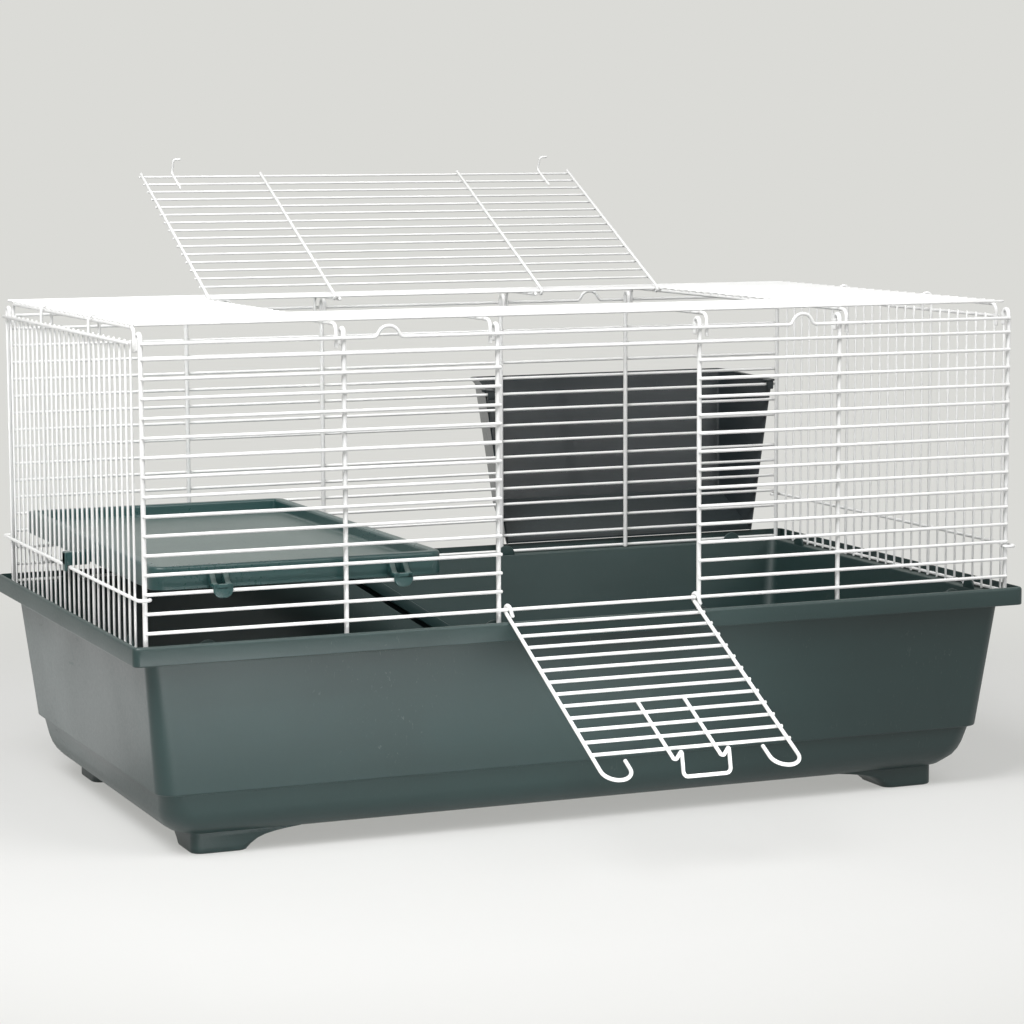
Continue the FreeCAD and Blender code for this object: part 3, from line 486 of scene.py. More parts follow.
class Draft:
    """Collects the faces of one piece and turns them into an object.

    Wires have SIDES sides. Their ends are softened over END_DEPTH of the radius, at the angles END_TURNS.
    Plates are rounded at EDGE_TURNS, and their corners are mitred down to MITRE. Welds have WELD_SIDES sides
    and are rounded at WELD_TILTS. Edges are shaded sharp from the angle SHARP on.
    """

    SIDES = 12
    END_DEPTH = 0.45
    END_TURNS = (0.45, 0.9, 1.25)
    EDGE_TURNS = (0.0, 0.5, 1.05, math.pi / 2)
    MITRE = 0.4
    WELD_SIDES = 8
    WELD_TILTS = (0.35, 0.9, math.pi / 2, math.pi - 0.9, math.pi - 0.35)
    SHARP = math.radians(48)

    def __init__(self) -> None:
        """Start with nothing drawn."""
        self.points: list[Vector] = []
        self.faces: list[tuple[int, ...]] = []

    def ring(self, points: Iterable[Vector]) -> list[int]:
        """Add loose points and give their numbers.

        Args:
            points: The points.

        Returns:
            Their numbers.
        """
        first = len(self.points)
        self.points += points
        return list(range(first, len(self.points)))

    def loft(self, rings: Sequence[Ring]) -> None:
        """Skin a row of closed rings and close both ends.

        Args:
            rings: Rings with the same number of points.
        """
        rows = [self.ring(ring) for ring in rings]
        for low, high in zip(rows, rows[1:]):
            for index, number in enumerate(low):
                ahead = (index + 1) % len(low)
                self.faces.append((number, low[ahead], high[ahead], high[index]))
        self.faces.append(tuple(reversed(rows[0])))
        self.faces.append(tuple(rows[-1]))

    def tube(self, path: Path, radius: float) -> None:
        """Draw a round wire with softened cut ends.

        Args:
            path: Points along its middle.
            radius: Radius of the wire.
        """
        steps = [(after - before).normalized() for before, after in zip(path, path[1:])]
        facing = [steps[0]] + [(a + b).normalized() for a, b in zip(steps, steps[1:])] + [steps[-1]]
        across = facing[0].orthogonal().normalized()
        frames = []
        for index, (place, way) in enumerate(zip(path, facing)):
            if index:
                across = facing[index - 1].rotation_difference(way) @ across
            frames.append((place, way, across.copy()))
        depth = self.END_DEPTH * radius
        cut = [(math.sin(angle) * radius, (1.0 - math.cos(angle)) * depth) for angle in self.END_TURNS]
        rings = [self._circle(frames[0], size, along) for size, along in cut]
        rings.append(self._circle(frames[0], radius, depth))
        rings += [self._circle(spot, radius, 0.0) for spot in frames[1:-1]]
        rings.append(self._circle(frames[-1], radius, -depth))
        rings += [self._circle(frames[-1], size, -along) for size, along in reversed(cut)]
        self.loft(rings)

    def _circle(self, spot: tuple[Vector, Vector, Vector], radius: float, along: float) -> Ring:
        """One ring of a wire, moved along its line.

        Args:
            spot: Place, way along the wire and way across it.
            radius: Radius of the ring.
            along: How far it is moved.

        Returns:
            The ring.
        """
        place, way, across = spot
        beside = way.cross(across)
        turns = [2 * math.pi * side / self.SIDES for side in range(self.SIDES)]
        return [place + way * along + (across * math.cos(turn) + beside * math.sin(turn)) * radius
                for turn in turns]

    def plate(self, outline: Outline, thick: float, edge: float, place: Matrix) -> None:
        """Draw a flat plate with rounded edges.

        Args:
            outline: Its shape, in order.
            thick: Its thickness.
            edge: Rounding of its edges.
            place: Where its lower face goes.
        """
        flat = [Vector((x, y, 0.0)) for x, y in outline]
        inward = []
        for index, point in enumerate(flat):
            before = (point - flat[index - 1]).normalized()
            after = (flat[(index + 1) % len(flat)] - point).normalized()
            normal = Vector((-(before + after).y, (before + after).x, 0.0)).normalized()
            inward.append(normal / max(self.MITRE, math.cos(before.angle(after, 0.0) / 2)))
        area = sum(a.x * b.y - b.x * a.y for a, b in zip(flat, flat[1:] + flat[:1]))
        sign = 1.0 if area > 0 else -1.0
        levels = [(1.0 - math.sin(turn), 1.0 - math.cos(turn)) for turn in self.EDGE_TURNS]
        heights = [(share * edge, lift * edge) for share, lift in levels]
        heights += [(share, thick - lift) for share, lift in reversed(heights)]
        self.loft([[place @ (point + normal * sign * share + Vector((0.0, 0.0, level)))
                    for point, normal in zip(flat, inward)] for share, level in heights])

    def block(self, size: Point, place: Matrix, corner: float, edge: float) -> None:
        """Draw a plate of a length, depth and thickness with round corners and edges."""
        self.plate(rounded_outline(size[0], size[1], corner), size[2], edge, place)

    def weld(self, place: Vector, radius: float) -> None:
        """Draw the small swelling of the coating where two wires meet.

        Args:
            place: Where they meet.
            radius: Radius of the swelling.
        """
        turns = [2 * math.pi * side / self.WELD_SIDES for side in range(self.WELD_SIDES)]
        rings = []
        for tilt in self.WELD_TILTS:
            level = place + Vector((0.0, 0.0, -math.cos(tilt) * radius))
            rings.append([level + Vector((math.cos(turn), math.sin(turn), 0.0)) * math.sin(tilt) * radius
                          for turn in turns])
        self.loft(rings)

    def piece(self, name: str, body: Body, slot: Slot, finish: bpy.types.Material,
              nodes: Sequence[str] = ()) -> bpy.types.Object:
        """Turn the drawing into an object of the cage.

        Args:
            name: Name of the piece.
            body: Body that it moves with.
            slot: Material slot of the record; not used.
            finish: Its material.
            nodes: CAD nodes that it stands for.

        Returns:
            The object.
        """
        mesh = bpy.data.meshes.new(name)
        mesh.from_pydata([tuple(point) for point in self.points], [], self.faces)
        shape = bmesh.new()
        shape.from_mesh(mesh)
        bmesh.ops.recalc_face_normals(shape, faces=shape.faces)
        shape.to_mesh(mesh)
        shape.free()
        mesh.polygons.foreach_set("use_smooth", [True] * len(mesh.polygons))
        mesh.set_sharp_from_angle(angle=self.SHARP)
        mesh.materials.append(finish)
        item = bpy.data.objects.new(name, mesh)
        bpy.context.scene.collection.objects.link(item)
        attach(item, body.value)
        if nodes:
            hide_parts(*nodes)
        LOG.info("%s: %d faces on %s", name, len(mesh.polygons), body.value)
        return item


@dataclass
class Tub:
    """The moulded tub: stepped walls, gutter rim, locating lugs and corner feet."""

    finish: bpy.types.Material
    stations: tuple[Station, ...] = (
        Station(0.095, 0.020, 0.004, 0.0),
        Station(0.0445, 0.020, 0.040, 0.033),
        Station(0.0375, 0.068, 0.020, 0.0015),
        Station(0.0325, 0.068, 0.020, 0.0018),
        Station(0.0175, 0.211, 0.014, 0.002),
        Station(0.004, 0.211, 0.004, 0.001),
        Station(0.004, 0.205, 0.004, 0.0012),
        Station(0.0, 0.205, 0.008, 0.0012),
        Station(0.0, 0.2245, 0.008, 0.0032),
        Station(0.004, 0.2245, 0.004, 0.0006),
        Station(0.004, 0.214, 0.004, 0.0015),
        Station(0.0205, 0.214, 0.011, 0.002),
        Station(0.0355, 0.071, 0.017, 0.002),
        Station(0.0405, 0.071, 0.017, 0.002),
        Station(0.0475, 0.023, 0.037, 0.030),
        Station(0.095, 0.023, 0.004, 0.0),
    )
    foot_outer: tuple[float, float] = (0.4255, 0.2195)
    foot_size: float = 0.060
    foot_corner: float = 0.010
    foot_levels: tuple[tuple[float, float], ...] = (
        (0.0, -0.0036), (0.0006, -0.0012), (0.0018, 0.0), (0.006, 0.0045), (0.011, 0.012), (0.0145, 0.021),
        (0.0172, 0.033), (0.0192, 0.047), (0.0206, 0.060), (0.0229, 0.060))
    lug_radius: float = 0.011
    lug_wall: float = 0.002
    lug_root: float = 0.001
    lug_edge: float = 0.0007
    lug_level: float = 0.214
    lug_long: tuple[float, ...] = (-0.420, -0.117, 0.117, 0.420)
    lug_short: tuple[float, ...] = (-0.200, 0.200)
    cavity: tuple[float, float] = (0.4795, 0.2635)

    def build(self) -> None:
        """Build the tub, its feet and its lugs."""
        low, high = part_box("base_tray")
        half = ((high.x - low.x) / 2, (high.y - low.y) / 2)
        tub = Draft()
        tub.loft(moulded_rings(self.stations, half, (0.0, 0.0)))
        tub.piece("tub_shell", Body.BASE, Slot.TUB, self.finish, ["base_tray"])
        self.feet().piece("tub_feet", Body.BASE, Slot.TUB, self.finish)
        self.lugs().piece("tub_lugs", Body.BASE, Slot.TUB, self.finish)

    def feet(self) -> Draft:
        """Four feet that flare into the floor.

        Returns:
            The drawing.
        """
        draft = Draft()
        for x_sign in (-1, 1):
            for y_sign in (-1, 1):
                rings = []
                for height, flare in self.foot_levels:
                    half = (self.foot_size + flare) / 2
                    middle = (x_sign * (self.foot_outer[0] - half + min(flare, 0.0) / 2),
                              y_sign * (self.foot_outer[1] - half + min(flare, 0.0) / 2))
                    rings.append(rounded_ring(half, half, self.foot_corner, height, middle, 5))
                draft.loft(rings)
        return draft

    def lugs(self) -> Draft:
        """Half round lugs along the ledge.

        Returns:
            The drawing.
        """
        draft = Draft()
        turns = [math.pi * step / 14 for step in range(15)]
        arch = [(self.lug_radius * math.cos(turn), self.lug_radius * math.sin(turn)) for turn in turns]
        outline = arch + [(-self.lug_radius, -self.lug_root), (self.lug_radius, -self.lug_root)]
        upright = Matrix.Rotation(math.pi / 2, 4, "X")
        quarter = Matrix.Rotation(math.pi / 2, 4, "Z")
        long, short = self.cavity[1], self.cavity[0]
        places = [((x, y), upright) for x in self.lug_long for y in (-long, long + self.lug_wall)]
        places += [((x, y), quarter @ upright)
                   for y in self.lug_short for x in (-short - self.lug_wall, short)]
        for (x, y), turn in places:
            place = Matrix.Translation((x, y, self.lug_level)) @ turn
            draft.plate(outline, self.lug_wall, self.lug_edge, place)
        return draft


class Welds:
    """Finds where the wires of one body cross, and draws the coating there.

    Only stretches longer than STRAIGHT radii count. Wires cross where the cosine of the angle between them is
    no more than PARALLEL and their gap no more than REACH. A weld has SHARE of the thinner radius.
    """

    STRAIGHT = 4
    PARALLEL = 0.5
    REACH = 0.0004
    SHARE = 0.82

    def __init__(self) -> None:
        """Start with no wires."""
        self.runs: list[Run] = []

    def take(self, path: Path, radius: float) -> None:
        """Keep the straight stretches of a wire.

        Args:
            path: Points along the wire.
            radius: Its radius.
        """
        for start, end in zip(path, path[1:]):
            if (end - start).length > self.STRAIGHT * radius:
                self.runs.append(Run(start, end, radius))

    def draft(self) -> Draft:
        """Draw a weld at every crossing.

        Returns:
            The drawing.
        """
        draft = Draft()
        for index, first in enumerate(self.runs):
            for second in self.runs[index + 1:]:
                place = self._crossing(first, second)
                if place is not None:
                    draft.weld(place, self.SHARE * min(first.radius, second.radius))
        return draft

    def _crossing(self, first: Run, second: Run) -> Optional[Vector]:
        """Where two wires touch side by side, if they do.

        Args:
            first: One wire.
            second: Another wire.

        Returns:
            The point between them, or nothing.
        """
        way = first.end - first.start
        other = second.end - second.start
        if abs(way.normalized().dot(other.normalized())) > self.PARALLEL:
            return None
        offset = first.start - second.start
        a, b, c = way.dot(way), way.dot(other), other.dot(other)
        d, e = way.dot(offset), other.dot(offset)
        scale = a * c - b * b
        along = (b * e - c * d) / scale
        beside = (a * e - b * d) / scale
        if not (0.0 <= along <= 1.0 and 0.0 <= beside <= 1.0):
            return None
        here = first.start + way * along
        there = second.start + other * beside
        gap = (there - here).length
        if gap > first.radius + second.radius + self.REACH or gap < 1e-6:
            return None
        return here + (there - here) * (first.radius / (first.radius + second.radius))


@dataclass
class WireWork:
    """The wires of one body."""

    finish: bpy.types.Material
    body: Body
    slot: Slot

    def draw(self, parts: dict[str, list[Wire]]) -> None:
        """Draw the wires of each node, and then the welds between all of them.

        Args:
            parts: Path and radius of each wire, by the CAD node that they stand for.
        """
        welds = Welds()
        for node, wires in parts.items():
            draft = Draft()
            for path, radius in wires:
                draft.tube(path, radius)
                welds.take(path, radius)
            draft.piece(f"{node}_coated", self.body, self.slot, self.finish, [node])
        welds.draft().piece(f"{self.body.value}_welds", self.body, self.slot, self.finish)


@dataclass
class WireTop(WireWork):
    """The lift-off wire top: four panels and the roof, all but the door and the lid."""

    hairpin_tail: float = 0.017
    hook_tail: float = 0.0205
    low_rail_tip: float = 0.008
    low_rail_bend: float = 0.005
    rail_cut: float = 0.003
    end_x: float = 0.47
    hump_x: float = 0.231
    hump_foot: float = 0.0135
    hump_crest: float = 0.007
    hump_bends: tuple[float, float] = (0.005, 0.011)
    roof_bend: float = 0.008
    long_rails: tuple[str, ...] = ("front_long_rails", "front_left_rails", "front_right_rails", "back_rails")
    straight: tuple[str, ...] = ("left_bars", "right_bars", "left_rails", "right_rails",
                                 "roof_long_wires", "roof_side_wires")

    def build(self) -> None:
        """Build every wire of the top and its welds."""
        parts: dict[str, list[Wire]] = {}
        for node in self.long_rails:
            parts[node] = [([self._cut(run.start), self._cut(run.end)], run.radius)
                           for run in straight_runs(node)]
        for node in self.straight:
            parts[node] = [([run.start, run.end], run.radius) for run in straight_runs(node)]
        for node, side in (("front_posts", Side.LOW), ("back_posts", Side.HIGH)):
            parts[node] = [self._hairpin(box, 0, side, self.hairpin_tail) for box in loose_boxes(node)]
        for node in ("front_top_rail", "back_top_rail"):
            parts[node] = [self._top_rail(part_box(node))]
        for name, side in (("left", Side.LOW), ("right", Side.HIGH)):
            node = f"{name}_hook_bars"
            parts[node] = [self._hairpin(box, 1, side, self.hook_tail) for box in loose_boxes(node)]
            node = f"{name}_low_rail"
            parts[node] = [self._low_rail(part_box(node), side)]
        for node in ("roof_edge_rods", "roof_inner_rods"):
            parts[node] = [self._roof_rod(box, Side.LOW, 2) for box in loose_boxes(node)]
        for node, side in (("roof_front_short_rods", Side.LOW), ("roof_back_short_rods", Side.HIGH)):
            parts[node] = [self._roof_rod(box, side, 1) for box in loose_boxes(node)]
        self.draw(parts)

    def _hairpin(self, box: Box, along: int, side: Side, tail: float) -> Wire:
        """An upright wire whose top turns back and hangs down, as a hairpin or as a hook.

        Args:
            box: Lowest and highest corner of the wire.
            along: Axis that its panel runs along, 0 or 1.
            side: Which way its panel faces.
            tail: Length of the end that hangs down.

        Returns:
            Path and radius of the wire.
        """
        low, high = box
        across = 1 - along
        radius = (high[along] - low[along]) / 2
        middle = (low[along] + high[along]) / 2
        crest = high.z - radius
        near, far = (low[across] + radius, high[across] - radius)[::-side.value]
        places = ((near, low.z), (near, crest), (far, crest), (far, crest - tail))
        corners = [(place, middle, z) if along else (middle, place, z) for place, z in places]
        return bent(corners, [abs(far - near) / 2] * 2), radius

    def _top_rail(self, box: Box) -> Wire:
        """The top wire of a long panel, with its two humps.

        Args:
            box: Lowest and highest corner of the wire.

        Returns:
            Path and radius of the wire.
        """
        low, high = box
        radius = (high.y - low.y) / 2
        y = (low.y + high.y) / 2
        level, crest = low.z + radius, high.z - radius
        hump = [(-self.hump_foot, level), (-self.hump_crest, crest)]
        hump += [(-x, z) for x, z in reversed(hump)]
        corners = [Vector((low.x, y, level))]
        for middle in (-self.hump_x, self.hump_x):
            corners += [Vector((middle + x, y, z)) for x, z in hump]
        corners.append(Vector((high.x, y, level)))
        foot, top = self.hump_bends
        return bent([self._cut(corner) for corner in corners], [foot, top, top, foot] * 2, 6), radius

    def _cut(self, end: Vector) -> Vector:
        """A wire end, drawn in where it lies beyond the corner upright.

        Args:
            end: End of the wire.

        Returns:
            The end that is drawn.
        """
        if abs(end.x) < self.end_x:
            return end
        return end - Vector((math.copysign(self.rail_cut, end.x), 0.0, 0.0))

    def _low_rail(self, box: Box, side: Side) -> Wire:
        """The low end wire that wraps round the corner uprights.

        Args:
            box: Lowest and highest corner of the wire.
            side: Which way its panel faces.

        Returns:
            Path and radius of the wire.
        """
        low, high = box
        radius = (high.z - low.z) / 2
        z = (low.z + high.z) / 2
        outside, tip = (low.x + radius, high.x - radius)[::-side.value]
        front, back = low.y + radius, high.y - radius
        corners = [(tip, front + self.low_rail_tip, z), (tip, front, z), (outside, front, z),
                   (outside, back, z), (tip, back, z), (tip, back - self.low_rail_tip, z)]
        return bent(corners, [self.low_rail_bend] * 4), radius

    def _roof_rod(self, box: Box, side: Side, legs: int) -> Wire:
        """A roof rod with one or two legs bent down.

        Args:
            box: Lowest and highest corner of the wire.
            side: Panel that its first leg stands at.
            legs: Number of legs.

        Returns:
            Path and radius of the wire.
        """
        low, high = box
        radius = (high.x - low.x) / 2
        x = (low.x + high.x) / 2
        level = high.z - radius
        near, far = (low.y, high.y)[::-side.value]
        leg, other = near - side.value * radius, far + side.value * radius
        corners = [(x, leg, low.z), (x, leg, level)]
        corners += [(x, far, level)] if legs == 1 else [(x, other, level), (x, other, low.z)]
        return bent(corners, [self.roof_bend] * legs), radius


def hinge_place(joint: str) -> Vector:
    """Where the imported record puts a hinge."""
    return Vector(next(item["pos_m"] for item in frame["joints"] if item["name"] == joint))


def curl(x: float, radius: float, tail: float, reach: float = 0.0, twist: float = 0.0) -> list[Vector]:
    """Corners of a wire end that is curled over its hinge wire, tail first.

    Args:
        x: Place along the hinge wire.
        radius: Radius of the curl.
        tail: Angle that the curl goes on past its top.
        reach: Length of the straight end after the curl.
        twist: How far the curl winds along the hinge wire.

    Returns:
        The corners, in the flat frame of the hinged piece.
    """
    tip = math.tan(tail / 2) * radius
    top, far = [x + share * twist for share in CURL_SHARES]
    end = Vector((x + twist, -tip, radius)) - (tip + reach) * Vector((0.0, math.cos(tail), math.sin(tail)))
    return [end, Vector((top, -tip, radius)), Vector((far, radius, radius)), Vector((x, radius, -radius))]


@dataclass
class Flap(WireWork):
    """A wire piece that swings on a hinge wire and is drawn flat in front of it."""

    joint: str
    cross_wires: str
    cross_shift: tuple[float, float] = (0.0, 0.0)
    tail: float = math.radians(60)

    def hang(self, parts: dict[str, list[Wire]]) -> None:
        """Draw the cross wires where they lie, and the bent wires in the same slope from the hinge.

        Args:
            parts: Bent wires in the flat frame, by the CAD node that they stand for.
        """
        hinge = hinge_place(self.joint)
        runs = straight_runs(self.cross_wires)
        rows = sorted(runs, key=lambda run: (run.start - hinge).length)
        way = rows[-1].start - rows[0].start
        place = Matrix.Translation(hinge) @ Matrix.Rotation(math.atan2(-way.z, -way.y), 4, "X")
        shift = place.to_3x3() @ Vector((*self.cross_shift, 0.0))
        placed = {self.cross_wires: [([run.start + shift, run.end + shift], run.radius) for run in runs]}
        for node, wires in parts.items():
            placed[node] = [([place @ point for point in path], radius) for path, radius in wires]
        self.draw(placed)


@dataclass
class FrontDoor(Flap):
    """The front door with hinge curls, J hooks and a latch bent from one wire."""

    half_width: float = 0.106
    wire: float = 0.002
    curl_radius: float = 0.0041
    curl_reach: float = 0.008
    curl_twist: float = 0.005
    top: float = 0.2366
    hook_radius: float = 0.0155
    hook_start: float = 0.025
    hook_tips: tuple[float, float] = (0.0135, 0.0175)
    latch_wire: float = 0.00195
    latch_x: tuple[float, float] = (-0.025, 0.026)
    latch_shift: float = 0.0135
    latch_foot: float = 0.1592
    latch_level: float = -0.00415
    latch_tip: float = 0.020
    latch_heel: float = 0.0045
    latch_rise: float = 0.016
    latch_drop: float = 0.020
    latch_bend: float = 0.002
    handle_bend: float = 0.005

    def build(self) -> None:
        """Build the door."""
        left, right = self.hook_tips
        self.hang({"door_side_wires": [self._side(-1, left), self._side(1, right)],
                   "door_latch": [self._latch()]})

    def _side(self, sign: int, tip: float) -> Wire:
        """One side wire, from its hinge curl to the tip of its hook.

        Args:
            sign: Side of the door, -1 or 1.
            tip: Length of the end of its hook.

        Returns:
            Path and radius of the wire.
        """
        x = sign * self.half_width
        inner = sign * (self.half_width - 2 * self.hook_radius)
        hook = -self.top - self.hook_start
        crest = hook - self.hook_radius
        level = -self.curl_radius
        corners = curl(x, self.curl_radius, self.tail, self.curl_reach, self.curl_twist)
        ends = ((x, crest), (inner, crest), (inner, hook + tip))
        corners += [Vector((beside, y, level)) for beside, y in ends]
        return bent(corners, [self.curl_radius] * 3 + [self.hook_radius] * 2, 10), self.wire

    def _latch(self) -> Wire:
        """The latch: two bars, V bends and a handle that stands off the door.

        Returns:
            Path and radius of the wire.
        """
        sides = []
        heel = -self.top - self.latch_heel
        for x in self.latch_x:
            beside = x + self.latch_shift
            sides.append([(x, -self.latch_foot, self.latch_level),
                          (x, -self.top - self.latch_tip, self.latch_level),
                          (beside, heel, self.latch_level),
                          (beside, heel - self.latch_rise, self.latch_level - self.latch_drop)])
        half = [self.latch_bend, self.latch_bend, self.handle_bend]
        return bent(sides[0] + sides[1][::-1], half + half[::-1]), self.latch_wire


@dataclass
class RoofLid(Flap):
    """The roof lid, leaning back on its hinge wire, with two catches on its free edge."""

    half_width: float = 0.277
    mid_x: float = 0.128
    rod: float = 0.0017
    curl_radius: float = 0.0033
    length: float = 0.293
    stub: float = 0.003
    catch_x: float = 0.238
    catch_wire: float = 0.0013
    catch_level: float = -0.0029
    catch_foot: float = 0.038
    catch_reach: float = 0.0055
    catch_drop: float = 0.018
    catch_tip: float = 0.009
    catch_bend: float = 0.003

    def build(self) -> None:
        """Build the lid."""
        self.hang({"lid_side_rods": [self._rod(-self.half_width), self._rod(self.half_width)],
                   "lid_mid_rods": [self._rod(-self.mid_x), self._rod(self.mid_x)],
                   "lid_catches": [self._catch(-self.catch_x), self._catch(self.catch_x)]})

    def _rod(self, x: float) -> Wire:
        """A rod curled round the hinge wire.

        Args:
            x: Place along the hinge wire.

        Returns:
            Path and radius of the wire.
        """
        corners = curl(x, self.curl_radius, self.tail)
        corners.append(Vector((x, -self.length - self.stub, -self.curl_radius)))
        return bent(corners, [self.curl_radius] * 3, 10), self.rod

    def _catch(self, x: float) -> Wire:
        """A thin catch that turns down past the free edge.

        Args:
            x: Place along the free edge.

        Returns:
            Path and radius of the wire.
        """
        corner = -self.length - self.catch_reach
        low = self.catch_level - self.catch_drop
        corners = [(x, -self.length + self.catch_foot - self.stub, self.catch_level),
                   (x, corner, self.catch_level), (x, corner, low), (x + self.catch_tip, corner, low)]
        return bent(corners, [self.catch_bend] * 2), self.catch_wire


@dataclass
class Shelf:
    """The moulded shelf with its recessed floor, tongues, clip and ramp ears."""

    finish: bpy.types.Material
    half: tuple[float, float] = (0.1525, 0.258)
    middle: tuple[float, float] = (-0.3205, 0.0)
    stations: tuple[Station, ...] = (
        Station(0.040, 0.2825, 0.004, 0.0),
        Station(0.0105, 0.2825, 0.0055, 0.0025),
        Station(0.0105, 0.2955, 0.0055, 0.0015),
        Station(0.0025, 0.2955, 0.0135, 0.0015),
        Station(0.0025, 0.275, 0.0135, 0.0008),
        Station(0.0, 0.275, 0.016, 0.0008),
        Station(0.0, 0.298, 0.016, 0.003),
        Station(0.013, 0.298, 0.003, 0.0025),
        Station(0.013, 0.285, 0.003, 0.003),
        Station(0.040, 0.285, 0.004, 0.0),
    )
    tongue_x: tuple[float, float] = (-0.407, -0.219)
    tongue_width: float = 0.020
    tongue_low: float = 0.2761
    tongue_high: float = 0.2811
    tongue_tip: float = 0.2781
    tongue_leg: float = 0.003
    tongue_end: float = 0.2671
    tongue_round: float = 0.008
    tongue_floor: float = 0.002
    tongue_root: float = 0.002
    tongue_rib: float = 0.006
    soft: float = 0.001
    gusset_rise: float = 0.013
    gusset_length: float = 0.012
    clip_y: float = -0.00968
    clip_width: float = 0.012
    clip_web: float = 0.005
    clip_x: tuple[float, float, float] = (-0.49725, -0.49425, -0.4705)
    clip_z: tuple[float, float, float, float] = (0.2646, 0.2711, 0.2851, 0.2881)
    ear_radius: float = 0.0073
    ear_wall: float = 0.004
    ear_y: tuple[float, float] = (0.1248, 0.1952)
    ear_top: float = 0.2835

    def build(self) -> None:
        """Build the shelf and its fittings."""
        tray = Draft()
        tray.loft(moulded_rings(self.stations, self.half, self.middle))
        tray.piece("shelf_tray", Body.SHELF, Slot.SHELF, self.finish, ["shelf"])
        fittings = Draft()
        for x in self.tongue_x:
            for sign in (-1, 1):
                self._tongue(fittings, x, sign)
        self._clip(fittings)
        self._ears(fittings)
        fittings.piece("shelf_fittings", Body.SHELF, Slot.SHELF, self.finish)

    def _tongue(self, draft: Draft, x: float, sign: int) -> None:
        """A grooved tongue that hooks over a cross wire.

        Args:
            draft: Drawing that it goes into.
            x: Place along the shelf.
            sign: Front, -1, or back, 1.
        """
        start = self.half[1] - self.tongue_root
        length = self.tongue_tip - start
        middle = sign * (start + length / 2)
        draft.block((self.tongue_width, length, self.tongue_floor),
                    Matrix.Translation((x, middle, self.tongue_low)), corner=self.soft, edge=0.0006)
        offset = (self.tongue_width - self.tongue_rib) / 2
        wall = self.half[1]
        crest = self.tongue_high - self.tongue_low
        gusset = [(start, 0.0), (self.tongue_tip, 0.0), (self.tongue_tip, crest),
                  (wall + self.gusset_length, crest), (wall, crest + self.gusset_rise),
                  (start, crest + self.gusset_rise)]
        side_on = Matrix(((0.0, 0.0, 1.0), (sign, 0.0, 0.0), (0.0, 1.0, 0.0))).to_4x4()
        for beside in (-offset, offset):
            place = Matrix.Translation((x + beside - self.tongue_rib / 2, 0.0, self.tongue_low)) @ side_on
            draft.plate(gusset, self.tongue_rib, edge=0.0009, place=place)
        height = self.tongue_high - self.tongue_end
        half = self.tongue_width / 2
        flat, bend = half - self.tongue_round, self.tongue_round
        turns = [math.pi / 2 * step / 7 for step in range(8)]
        round_end = [(-flat - bend * math.cos(turn), -height + bend - bend * math.sin(turn))
                     for turn in turns]
        round_end += [(-x_place, z_place) for x_place, z_place in reversed(round_end)]
        outline = round_end + [(half, -self.soft), (half - self.soft, 0.0),
                               (-half + self.soft, 0.0), (-half, -self.soft)]
        face = sign * (self.tongue_tip - self.tongue_leg / 2) + self.tongue_leg / 2
        place = Matrix.Translation((x, face, self.tongue_high)) @ Matrix.Rotation(math.pi / 2, 4, "X")
        draft.plate(outline, self.tongue_leg, self.soft, place)

    def _clip(self, draft: Draft) -> None:
        """The clip over the low wire of the left panel.

        Args:
            draft: Drawing that it goes into.
        """
        tip, inner, wall = self.clip_x
        low, under, top, web = self.clip_z
        for (start, end), (base, crest), corner, edge in (
                ((tip, wall), (under, top), 0.0015, 0.001),
                ((tip, inner), (low, top), 0.0012, 0.0012),
                ((wall - self.clip_web, wall), (under, web), 0.0012, 0.0012)):
            draft.block((end - start, self.clip_width, crest - base),
                        Matrix.Translation(((start + end) / 2, self.clip_y, base)), corner, edge)

    def _ears(self, draft: Draft) -> None:
        """The two ears that hold the pin of the ramp.

        Args:
            draft: Drawing that they go into.
        """
        pin = hinge_place("ramp_hinge")
        turns = [math.pi * step / 16 for step in range(17)]
        outline = [(-self.ear_radius * math.cos(turn), -self.ear_radius * math.sin(turn)) for turn in turns]
        rise = self.ear_top - pin.z
        outline += [(self.ear_radius, rise), (-self.ear_radius, rise)]
        upright = Matrix.Rotation(math.pi / 2, 4, "X")
        for y in self.ear_y:
            place = Matrix.Translation((pin.x, y + self.ear_wall / 2, pin.z)) @ upright
            draft.plate(outline, self.ear_wall, edge=0.0008, place=place)


